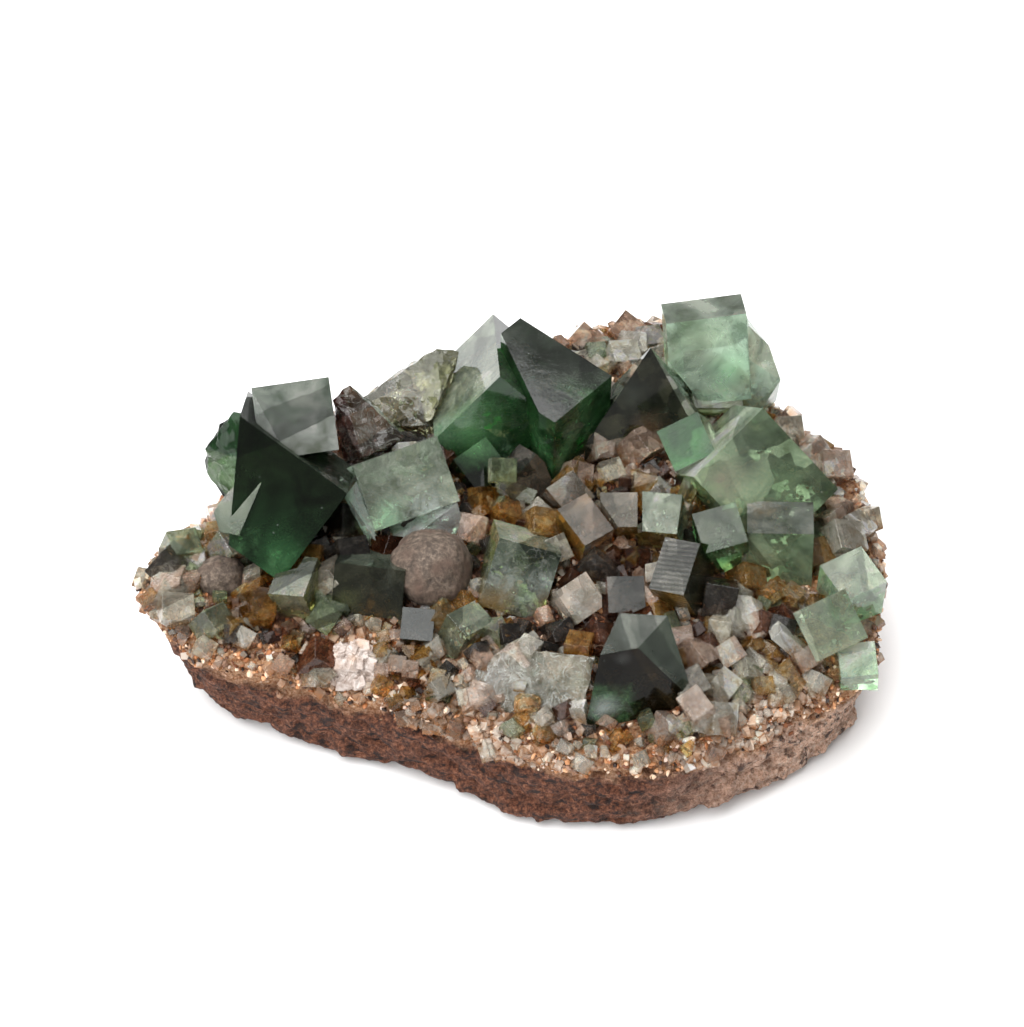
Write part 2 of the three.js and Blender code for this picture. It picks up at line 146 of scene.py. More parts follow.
class Graph:
    """A material's node tree, with short ways to add and join nodes."""

    def __init__(self, name):
        self.material = bpy.data.materials.new(name)
        self.material.use_nodes = True
        self.tree = self.material.node_tree
        self.shader = self.tree.nodes["Principled BSDF"]
        self.output = self.tree.nodes["Material Output"]
        self.coordinates = self.tree.nodes.new("ShaderNodeTexCoord").outputs["Object"]

    def add(self, kind, **values):
        node = self.tree.nodes.new("ShaderNode" + kind)
        for key, value in values.items():
            setattr(node, key, value)
        return node

    def join(self, output, target):
        self.tree.links.new(output, target)

    def set(self, socket, value):
        self.shader.inputs[socket].default_value = value

    def feed(self, socket, value):
        self.join(value, self.shader.inputs[socket])

    def attribute(self, name, output="Fac"):
        return self.add("Attribute", attribute_name=name).outputs[output]

    def mapped(self, scale=(1, 1, 1), turn=(0, 0, 0), centre=(0, 0, 0)):
        node = self.add("Mapping")
        node.inputs["Location"].default_value = centre
        node.inputs["Rotation"].default_value = turn
        node.inputs["Scale"].default_value = scale
        self.join(self.coordinates, node.inputs["Vector"])
        return node.outputs["Vector"]

    def noise(self, period, detail=4.0, roughness=0.55, vector=None, distortion=0.0):
        """Noise from 0 to 1 whose features are about one period wide."""
        node = self.add("TexNoise")
        node.inputs["Scale"].default_value = 1 / period
        node.inputs["Detail"].default_value = detail
        node.inputs["Roughness"].default_value = roughness
        node.inputs["Distortion"].default_value = distortion
        self.join(vector or self.coordinates, node.inputs["Vector"])
        return node.outputs["Fac"]

    def cells(self, period, output="Distance", feature="F1", vector=None, distance="EUCLIDEAN"):
        node = self.add("TexVoronoi", feature=feature, distance=distance)
        node.inputs["Scale"].default_value = 1 / period
        self.join(vector or self.coordinates, node.inputs["Vector"])
        return node.outputs[output]

    def warp(self, period):
        """A noise colour, for bending coordinates."""
        node = self.add("TexNoise")
        node.inputs["Scale"].default_value = 1 / period
        self.join(self.coordinates, node.inputs["Vector"])
        return node.outputs["Color"]

    def facet_reflections(self, period, bend, bend_period):
        """Straight-edged cells, each with a colour of its own, whose borders are slightly bent: painted
        reflections of facets.
        """
        bent = self.mix(bend, self.mapped(turn=FACET_REFLECTION_TURN), self.warp(bend_period))
        return self.cells(period, "Color", vector=bent, distance="CHEBYCHEV")

    def ramp(self, value, *stops):
        """Colours along a value: each stop is (place, colour)."""
        node = self.add("ValToRGB")
        elements = node.color_ramp.elements
        while len(elements) < len(stops):
            elements.new(0.5)
        for element, (place, colour) in zip(elements, stops):
            element.position = place
            element.color = (*colour, 1)
        self.join(value, node.inputs["Fac"])
        return node.outputs["Color"]

    def spread(self, value, low, high, to_low=0.0, to_high=1.0):
        node = self.add("MapRange")
        node.inputs["From Min"].default_value = low
        node.inputs["From Max"].default_value = high
        node.inputs["To Min"].default_value = to_low
        node.inputs["To Max"].default_value = to_high
        self.join(value, node.inputs["Value"])
        return node.outputs["Result"]

    def mix(self, factor, first, second, blend="MIX"):
        node = self.add("Mix", data_type="RGBA", blend_type=blend, clamp_result=True)
        for socket, value in ((0, factor), (6, first), (7, second)):
            if isinstance(value, bpy.types.NodeSocket):
                self.join(value, node.inputs[socket])
            elif isinstance(value, tuple):
                node.inputs[socket].default_value = (*value, 1)
            else:
                node.inputs[socket].default_value = value
        return node.outputs[2]

    def maths(self, operation, first, second=0.0):
        node = self.add("Math", operation=operation)
        for socket, value in ((0, first), (1, second)):
            if isinstance(value, bpy.types.NodeSocket):
                self.join(value, node.inputs[socket])
            else:
                node.inputs[socket].default_value = value
        return node.outputs["Value"]

    def plus(self, value, other, share):
        """The value and a share of another one."""
        return self.maths("ADD", value, self.maths("MULTIPLY", other, share))

    def centred(self, noise_value):
        """Noise from 0 to 1, moved to lie on both sides of 0."""
        return self.maths("SUBTRACT", noise_value, 0.5)

    def roughness(self, noise_value, low, high):
        """Surface roughness from low to high, over the range that noise mostly keeps to."""
        self.feed("Roughness", self.spread(noise_value, 0.3, 0.7, low, high))

    def place(self, axis):
        """The object coordinate along one axis, in metres."""
        node = self.add("SeparateXYZ")
        self.join(self.coordinates, node.inputs["Vector"])
        return node.outputs[axis]

    def bump(self, height, distance, strength=1.0):
        node = self.add("Bump")
        node.inputs["Strength"].default_value = strength
        node.inputs["Distance"].default_value = distance
        self.join(height, node.inputs["Height"])
        self.feed("Normal", node.outputs["Normal"])


def rock_material():
    """Granular rock: maroon-brown with long pores at the left, tan-pink and pitted at the right end.

    A sugary orange, tan and white band runs round the rim. The rock between the crystals is dark and rusty.
    """
    graph = Graph("brown_rock")
    grain = graph.noise(0.26 * MM, 6.0, 0.85)
    patches = graph.noise(3.2 * MM, 4.0, 0.6)
    long_pores = graph.noise(0.5 * MM, 3.0, 0.6, graph.mapped(scale=(0.5, 0.5, 1.4), turn=(0, 0.12, 0)))
    pits = graph.noise(0.8 * MM, 4.0, 0.6)
    speckle = graph.cells(0.32 * MM, "Color")
    left = graph.ramp(grain, (0.36, (0.014, 0.005, 0.002)), (0.45, (0.085, 0.026, 0.011)),
                      (0.52, (0.21, 0.068, 0.03)), (0.6, (0.38, 0.15, 0.075)), (0.72, (0.66, 0.36, 0.22)))
    right = graph.ramp(grain, (0.32, (0.09, 0.032, 0.016)), (0.4, (0.42, 0.21, 0.13)),
                       (0.5, (0.78, 0.5, 0.36)), (0.66, (0.98, 0.82, 0.7)))
    rusty = graph.ramp(grain, (0.3, (0.08, 0.024, 0.006)), (0.42, (0.36, 0.13, 0.04)),
                       (0.54, (0.68, 0.4, 0.22)), (0.7, (0.95, 0.82, 0.72)))
    inner = graph.ramp(grain, (0.3, (0.012, 0.005, 0.002)), (0.48, (0.07, 0.025, 0.01)),
                       (0.62, (0.22, 0.09, 0.03)), (0.78, (0.5, 0.3, 0.17)))
    rightward = graph.spread(graph.plus(graph.place("X"), patches, 8 * MM), 12 * MM, 21 * MM)
    # Painted shade: near-black in the long pores at the left and in the pits at the right, the hollows of the
    # bump
    left = graph.mix(graph.spread(long_pores, 0.38, 0.46, 0.85, 0), left, (0.012, 0.005, 0.004))
    right = graph.mix(graph.spread(pits, 0.36, 0.44, 0.9, 0), right, (0.04, 0.018, 0.013))
    rim_back = (RIM_FROM_Y + RIM_DEPTH) * MM
    backward = graph.spread(graph.place("Y"), RIM_FROM_Y * MM, rim_back, 0, RIM_CLIMB * MM)
    over_rim = graph.maths("SUBTRACT", graph.maths("SUBTRACT", graph.place("Z"), backward), RIM_FRONT * MM)
    over_rim = graph.plus(over_rim, graph.centred(patches), 4 * MM)
    colour = graph.mix(rightward, left, right)
    colour = graph.mix(graph.spread(over_rim, -1.4 * MM, -0.4 * MM), colour, rusty)
    colour = graph.mix(graph.spread(over_rim, 0.9 * MM, 1.9 * MM), colour, inner)
    flecks = graph.ramp(speckle, (0.1, (0.35, 0.3, 0.28)), (0.8, (1.25, 1.2, 1.15)))
    colour = graph.mix(0.45, colour, flecks, "MULTIPLY")
    graph.feed("Base Color", colour)
    graph.roughness(grain, 0.95, 0.6)
    hollow = graph.maths("ADD", graph.spread(long_pores, 0.36, 0.5), graph.spread(pits, 0.34, 0.48))
    height = graph.maths("ADD", graph.maths("MULTIPLY", grain, 2.0), graph.maths("MULTIPLY", hollow, 0.6))
    graph.bump(height, 0.26 * MM)
    return graph.material


def nodule_material():
    graph = Graph("grey_nodule")
    fine = graph.noise(0.35 * MM, 6.0, 0.7)
    patches = graph.noise(1.4 * MM, 4.0)
    colour = graph.ramp(fine, (0.32, (0.028, 0.018, 0.012)), (0.5, (0.085, 0.06, 0.043)),
                        (0.66, (0.2, 0.152, 0.115)))
    colour = graph.mix(graph.spread(patches, 0.45, 0.7), colour, (0.085, 0.05, 0.035))
    graph.feed("Base Color", colour)
    graph.roughness(patches, 0.65, 0.9)
    graph.bump(fine, 0.16 * MM)
    return graph.material


def quartz_material():
    """White, sugary quartz."""
    graph = Graph("white_quartz")
    fine = graph.noise(0.5 * MM, 5.0, 0.65)
    patches = graph.noise(1.8 * MM, 3.0)
    colour = graph.ramp(fine, (0.3, (0.2, 0.14, 0.11)), (0.5, (0.42, 0.35, 0.31)), (0.75, (0.66, 0.61, 0.58)))
    colour = graph.mix(graph.spread(patches, 0.5, 0.75), colour, (0.46, 0.3, 0.2))
    graph.feed("Base Color", colour)
    graph.roughness(fine, 0.25, 0.5)
    graph.set("IOR", QUARTZ_IOR)
    graph.bump(fine, 0.08 * MM)
    return graph.material


def crystal_material(name, through, haze, painted_glows_and_zones, stripes, uneven, facet_reflection_share, facet_reflection_size, veins, reflection_kept,
                     roughness):
    """Fluorite: light keeps the shares `through` of red, green and blue over CLEAR_DEPTH.

    Haze is the share of dull scatter. Its colour is the face's own `tone`, the crystal's colour with painted
    sheen and shade, clouded, with painted reflections of facets, and with painted glows of light, a few
    painted dark patches and colour zones.
    """
    graph = Graph(name)
    absorbed = [-math.log(share) / CLEAR_DEPTH for share in through]
    density = max(absorbed) * 1.02
    volume = graph.add("VolumeAbsorption")
    volume.inputs["Color"].default_value = (*(1 - value / density for value in absorbed), 1)
    volume.inputs["Density"].default_value = density
    graph.join(volume.outputs["Volume"], graph.output.inputs["Volume"])
    graph.set("Transmission Weight", 1.0 - haze)
    graph.set("IOR", FLUORITE_IOR)
    # The specular tint dims the reflections: painted shade on them, a share kept per crystal
    graph.set("Specular Tint", (reflection_kept, reflection_kept, reflection_kept, 1))
    clouds = graph.noise(2.6 * MM, 5.0, 0.6, distortion=0.6)
    fine = graph.noise(0.35 * MM, 5.0, 0.65)
    tone = graph.attribute("tone", "Color")
    shade = graph.ramp(clouds, (0.32, (0.4, 0.44, 0.36)), (0.48, (0.88, 0.92, 0.88)),
                       (0.66, (1.7, 1.65, 1.6)))
    colour = graph.mix(1.0, tone, shade, "MULTIPLY")
    # Painted reflections of facets inside the crystal: straight-edged cells that lighten and darken the
    # colour
    facet_reflections = graph.facet_reflections(facet_reflection_size, 0.6 * MM, 1.8 * MM)
    inner = graph.ramp(facet_reflections, (0.2, (0.3, 0.33, 0.28)), (0.5, (0.9, 0.95, 0.9)), (0.8, (2.2, 2.2, 2.1)))
    colour = graph.mix(facet_reflection_share, colour, inner, "MULTIPLY")
    if veins:
        ridge = graph.maths("SUBTRACT", graph.noise(1.3 * MM, 3.0, 0.6, distortion=1.5), 0.5)
        ridge = graph.spread(graph.maths("ABSOLUTE", ridge), 0.0, 0.035, veins, 0.0)
        colour = graph.mix(ridge, colour, (0.9, 0.93, 0.84))
    if stripes:
        wave = graph.add("TexWave", wave_type="BANDS", bands_direction="Y")
        wave.inputs["Scale"].default_value = 0.32 / (0.24 * MM)
        wave.inputs["Distortion"].default_value = 1.2
        wave.inputs["Detail"].default_value = 4.0
        wave.inputs["Detail Scale"].default_value = 2.0
        graph.join(graph.mapped(turn=stripes), wave.inputs["Vector"])
        lines = graph.ramp(wave.outputs["Fac"], (0.0, (0.42, 0.42, 0.42)), (0.5, (0.9, 0.9, 0.9)),
                           (1.0, (1.45, 1.45, 1.45)))
        colour = graph.mix(0.8, colour, lines, "MULTIPLY")
    if painted_glows_and_zones:
        flaws = graph.ramp(graph.cells(0.75 * MM, "Color"), (0.2, (0.1, 0.1, 0.1)), (0.75, (1, 1, 1)))
        wisps = graph.spread(graph.noise(0.9 * MM, 4.0, 0.65, distortion=1.2), 0.42, 0.62)
        flaws = graph.maths("MULTIPLY", flaws, wisps)
    # Painted glows: patches of painted light where light shines through, a few of painted shade, and colour
    # zones
    for centre, radius, patch_tone, broken in painted_glows_and_zones:
        away = graph.add("VectorMath", operation="DISTANCE")
        away.inputs[1].default_value = Vector(centre) * MM
        graph.join(graph.coordinates, away.inputs[0])
        near = graph.maths("SUBTRACT", 1.0, graph.maths("DIVIDE", away.outputs["Value"], radius * MM))
        near = graph.plus(near, graph.centred(clouds), 1.4)
        near = graph.maths("POWER", graph.spread(near, 0.0, 1.1), 1.4)
        if broken:
            near = graph.maths("MULTIPLY", near, graph.spread(flaws, 0.0, 0.7, 0.12, 1.0))
        colour = graph.mix(near, colour, TONES[patch_tone])
    specks = graph.maths("MULTIPLY", graph.spread(graph.cells(0.85 * MM), 0.04, 0.09, 1.0, 0.0),
                         graph.spread(graph.noise(1.7 * MM, 2.0), 0.52, 0.6))
    colour = graph.mix(graph.maths("MULTIPLY", specks, 0.5), colour, (0.75, 0.85, 0.78))
    graph.feed("Base Color", colour)
    graph.roughness(clouds, roughness * 0.5, roughness * 2.5)
    height = graph.plus(clouds, fine, uneven)
    if stripes:
        height = graph.plus(height, wave.outputs["Fac"], 1.2)
    graph.bump(height, 0.03 * MM, 0.6 if stripes else 0.16)
    return graph.material


def druse_material(name, dark, middle, light, foot, transmission, roughness=0.03):
    """Small crystals: glass with painted reflections of inner facets, tinted crystal by crystal and stained
    towards the foot.
    """
    graph = Graph(name)
    tint = graph.attribute("tint")
    height = graph.attribute("height")
    fine = graph.noise(0.5 * MM, 5.0, 0.65, distortion=0.8)
    uneven = graph.centred(fine)
    value = graph.plus(tint, uneven, 1.6)
    colour = graph.ramp(value, (0.1, dark), (0.5, middle), (0.9, light))
    # Painted reflections of inner facets: straight-edged cells that lighten and darken the colour
    facet_reflections = graph.facet_reflections(0.75 * MM, 0.3 * MM, 0.8 * MM)
    colour = graph.mix(0.65, colour, graph.ramp(facet_reflections, (0.2, (0.3, 0.27, 0.23)), (0.5, (0.95, 0.95, 0.92)),
                                                (0.8, (1.8, 1.8, 1.7))), "MULTIPLY")
    stain = graph.spread(graph.plus(height, uneven, 1.2), 0.25, 0.7, 0.9, 0.0)
    graph.feed("Base Color", graph.mix(stain, colour, foot))
    graph.set("Transmission Weight", transmission)
    graph.set("IOR", FLUORITE_IOR)
    # The specular tint dims the reflections: painted shade on them
    graph.set("Specular Tint", (SMALL_REFLECTION_KEPT, SMALL_REFLECTION_KEPT, SMALL_REFLECTION_KEPT, 1))
    graph.roughness(fine, roughness * 0.5, roughness * 2)
    graph.bump(fine, 0.04 * MM, 0.25)
    return graph.material


def grain_material(name, *stops):
    """Opaque grains, each with its own tint."""
    graph = Graph(name)
    tint = graph.attribute("tint")
    fine = graph.noise(0.3 * MM, 4.0, 0.6)
    value = graph.plus(tint, graph.centred(fine), 0.4)
    graph.feed("Base Color", graph.ramp(value, *stops))
    graph.roughness(fine, 0.35, 0.7)
    graph.bump(fine, 0.04 * MM, 0.5)
    return graph.material


def add_piece(name, mesh, material, nodes=()):
    mesh.materials.clear()
    mesh.materials.append(material)
    piece = bpy.data.objects.new(name, mesh)
    bpy.context.scene.collection.objects.link(piece)
    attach(piece, "root")
    if nodes:
        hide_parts(*nodes)
    return piece


def form_of(node_name):
    """A CAD node's shape as one welded surface."""
    form = bmesh.new()
    form.from_mesh(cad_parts[node_name].data)
    bmesh.ops.remove_doubles(form, verts=form.verts, dist=WELD)
    return form


def welded(node_name):
    """A CAD node's shape with its flat faces kept whole."""
    form = form_of(node_name)
    bmesh.ops.dissolve_limit(form, angle_limit=math.radians(0.6), verts=form.verts, edges=form.edges)
    return form


def bevel(form, edges, width, clamp=False):
    bmesh.ops.bevel(form, geom=edges, offset=width, segments=1, affect="EDGES", profile=0.5, material=-1,
                    clamp_overlap=clamp)


def worn(form):
    """The shape with its long convex edges worn, or as it was where the wear would leave its surface."""
    before = BVHTree.FromBMesh(form)
    finished = form.copy()
    sharp = [edge for edge in finished.edges if edge.calc_length() > LONG_EDGE and edge.is_manifold
             and edge.calc_face_angle(0) > SHARP_ANGLE and edge.is_convex]
    bevel(finished, sharp, EDGE_WEAR, clamp=True)
    astray = max(before.find_nearest(vertex.co)[3] for vertex in finished.verts)
    if astray > 2 * EDGE_WEAR:
        finished.free()
        return form
    form.free()
    return finished


def mesh_of(form, name, smooth=False):
    bmesh.ops.recalc_face_normals(form, faces=form.faces)
    mesh = bpy.data.meshes.new(name)
    form.to_mesh(mesh)
    form.free()
    for face in mesh.polygons:
        face.use_smooth = smooth
    return mesh


def clamped(value):
    """The value, held between 0 and 1."""
    return max(0.0, min(1.0, value))


def roughened(point):
    """How far the rock's surface moves out at a point, in metres: lumps, grains and pores."""
    spot = point / MM
    lumps = 0.32 * noise.noise(spot / 2.3) + 0.24 * noise.noise(spot / 1.0 + Vector((7, 3, 1)))
    stretched = Vector((spot.x * 0.9, spot.y * 0.9, spot.z * 2.4))
    pores = max(0.0, noise.noise(stretched + Vector((2, 9, 4))) - 0.1)
    grains = 0.16 * noise.noise(spot / 0.5) + 0.09 * noise.noise(spot / 0.27)
    coarser = 1 + clamped((spot.x - 8) / 10)
    return (lumps + grains - 0.55 * pores * coarser) * MM


def build_rock():
    coarse = mesh_of(form_of("rock_matrix"), "rock_coarse")
    draft = bpy.data.objects.new("rock_draft", coarse)
    bpy.context.scene.collection.objects.link(draft)
    remesh = draft.modifiers.new("remesh", "REMESH")
    remesh.mode = "VOXEL"
    remesh.voxel_size = VOXEL
    evaluated = draft.evaluated_get(bpy.context.evaluated_depsgraph_get())
    form = bmesh.new()
    form.from_mesh(evaluated.to_mesh())
    bpy.data.objects.remove(draft)
    for _ in range(SMOOTHING_ROUNDS):
        bmesh.ops.smooth_vert(form, verts=form.verts, factor=0.7, use_axis_x=True, use_axis_y=True,
                              use_axis_z=True)
    form.normal_update()
    moves = []
    for vertex in form.verts:
        up = max(0.0, vertex.normal.z)
        base = clamped(vertex.co.z / (0.8 * MM))
        out = roughened(vertex.co) * base
        moves.append(vertex.normal * out + Vector((0, 0, ROCK_RAISE * up ** 2)))
    for vertex, move in zip(form.verts, moves):
        vertex.co += move
        vertex.co.z = max(0.0, vertex.co.z)
    return add_piece("rock", mesh_of(form, "rock", smooth=True), rock_material(), ["rock_matrix"])


def rim_height(y):
    """Height of the rock's rim: it climbs towards the back."""
    return (RIM_FRONT + RIM_CLIMB * clamped((y / MM - RIM_FROM_Y) / RIM_DEPTH)) * MM


def below(ground, x, y):
    """Where the ground lies under a place, and which way it faces there."""
    return ground.ray_cast(Vector((x, y, ABOVE_ALL)), Vector((0, 0, -1)))[:2]


def tree_of(piece):
    return BVHTree.FromPolygons([v.co.copy() for v in piece.data.vertices],
                                [tuple(p.vertices) for p in piece.data.polygons])


def rippled(form, centre, reach, depth):
    """Breaks the surface near a point into small shell-like waves, for a chipped or broken crystal."""
    centre = Vector(centre) * MM
    for _ in range(RIPPLE_ROUNDS):
        bmesh.ops.triangulate(form, faces=form.faces)
        long_edges = [edge for edge in form.edges if edge.calc_length() > RIPPLE_EDGE
                      and ((edge.verts[0].co + edge.verts[1].co) / 2 - centre).length < reach * MM]
        bmesh.ops.subdivide_edges(form, edges=long_edges, cuts=1)
    bmesh.ops.triangulate(form, faces=form.faces)
    form.normal_update()
    for vertex in form.verts:
        spot = vertex.co / MM
        away = (vertex.co - centre).length / (reach * MM)
        if away < 1 and vertex.calc_shell_factor() < 1.5:
            waves = math.sin(3.1 * spot.x + 4.3 * spot.z + 4 * noise.noise(spot / 1.7))
            waves += 1.4 * noise.noise(spot / 0.6)
            vertex.co += vertex.normal * waves * depth * min(1, 3 * (1 - away)) * MM


def build_crystal(node_name, material, top, side, faces):
    """A large crystal: the CAD shape with worn edges, and rippled where the real one is chipped or broken.

    Each face carries a tone: that of the listed face or region it belongs to, or else of a top or a side.
    The tones hold the crystal's own colour with painted light and shade: a painted sheen on the tops and on
    listed faces that mirror the lamps, painted shade on faces turned from the light.
    """
    form = welded(node_name)
    marked = []
    for centre, tone in faces:
        spot = Vector(centre) * MM
        face = min(form.faces, key=lambda item: (item.calc_center_median_weighted() - spot).length)
        marked.append((face.normal.copy(), face.calc_center_median_weighted(), TONES[tone]))
    regions = [(Vector(middle) * MM, reach * MM, TONES[tone])
               for middle, reach, tone in REGIONS.get(node_name, ())]
    form = worn(form)
    form.normal_update()
    tones = form.faces.layers.float_color.new("tone")
    for face in form.faces:
        # Tops take the top tone with its painted sheen; other faces take the side tone
        colour = TONES[top] if face.normal.dot(SHEEN_UP_WAY) > SHEEN_TOP_SHARE else TONES[side]
        for normal, centre, tone in marked:
            off_plane = abs((face.calc_center_median() - centre).dot(normal))
            if normal.dot(face.normal) > SAME_WAY and off_plane < SAME_PLANE:
                colour = tone
        for middle, reach, tone in regions:
            if (face.calc_center_median_weighted() - middle).length < reach:
                colour = tone
        face[tones] = (*colour, 1)
    if node_name in RIPPLES:
        rippled(form, *RIPPLES[node_name])
    mesh = mesh_of(form, node_name + "_look", smooth=node_name == "crystal_broken_front")
    return add_piece(node_name + "_look", mesh, material, [node_name])


# The way tops look: faces turned this way take the top tone, with its painted sheen
SHEEN_UP_WAY = Vector((0, -0.35, 0.94))

# Tones of the haze in a crystal's face or in a glow below it: the crystals' own colours, with painted light
# and shade: the slate and silver greys are a painted sheen or reflection of the lamps, the near-blacks are
# the dark crystals' colour with painted shade, and mint and white are painted glows of light
TONES = {
    "deep": (0.01, 0.02, 0.008),
    "black": (0.01, 0.014, 0.008),
    "dim_green": (0.045, 0.14, 0.05),
    "green": (0.1, 0.34, 0.12),
    "bright_green": (0.36, 0.85, 0.36),
    "soft_green": (0.23, 0.36, 0.19),
    "mint": (0.56, 0.95, 0.6),
    "pale_mint": (0.66, 0.86, 0.66),
    "grey_mint": (0.46, 0.58, 0.48),
    "white_mint": (0.88, 1.0, 0.92),
    "slate": (0.27, 0.28, 0.26),
    "top_slate": (0.5, 0.51, 0.5),
    "dark_slate": (0.13, 0.155, 0.125),
    "deep_slate": (0.05, 0.062, 0.048),
    "light_slate": (0.42, 0.47, 0.38),
    "silver": (0.55, 0.6, 0.5),
    "olive": (0.2, 0.22, 0.09),
    "dark_olive": (0.08, 0.11, 0.05),
    "dark": (0.06, 0.06, 0.04),
    "brown": (0.22, 0.13, 0.075),
    "dark_brown": (0.022, 0.015, 0.006),
    "dark_red": (0.18, 0.07, 0.055),
    "amber": (0.6, 0.34, 0.08),
    "dark_amber": (0.32, 0.19, 0.06),
    "yellow": (0.75, 0.66, 0.36),
    "yellow_green": (0.5, 0.5, 0.36),
    "pale_olive": (0.3, 0.29, 0.2),
    "clear_green": (0.31, 0.4, 0.27),
    "pink": (0.55, 0.46, 0.4),
    "brown_grey": (0.3, 0.25, 0.2),
    "purple_grey": (0.15, 0.14, 0.13),
    "blue_grey": (0.1, 0.105, 0.1),
    "white": (0.95, 0.93, 0.88),
    "cream": (0.8, 0.76, 0.66),
}
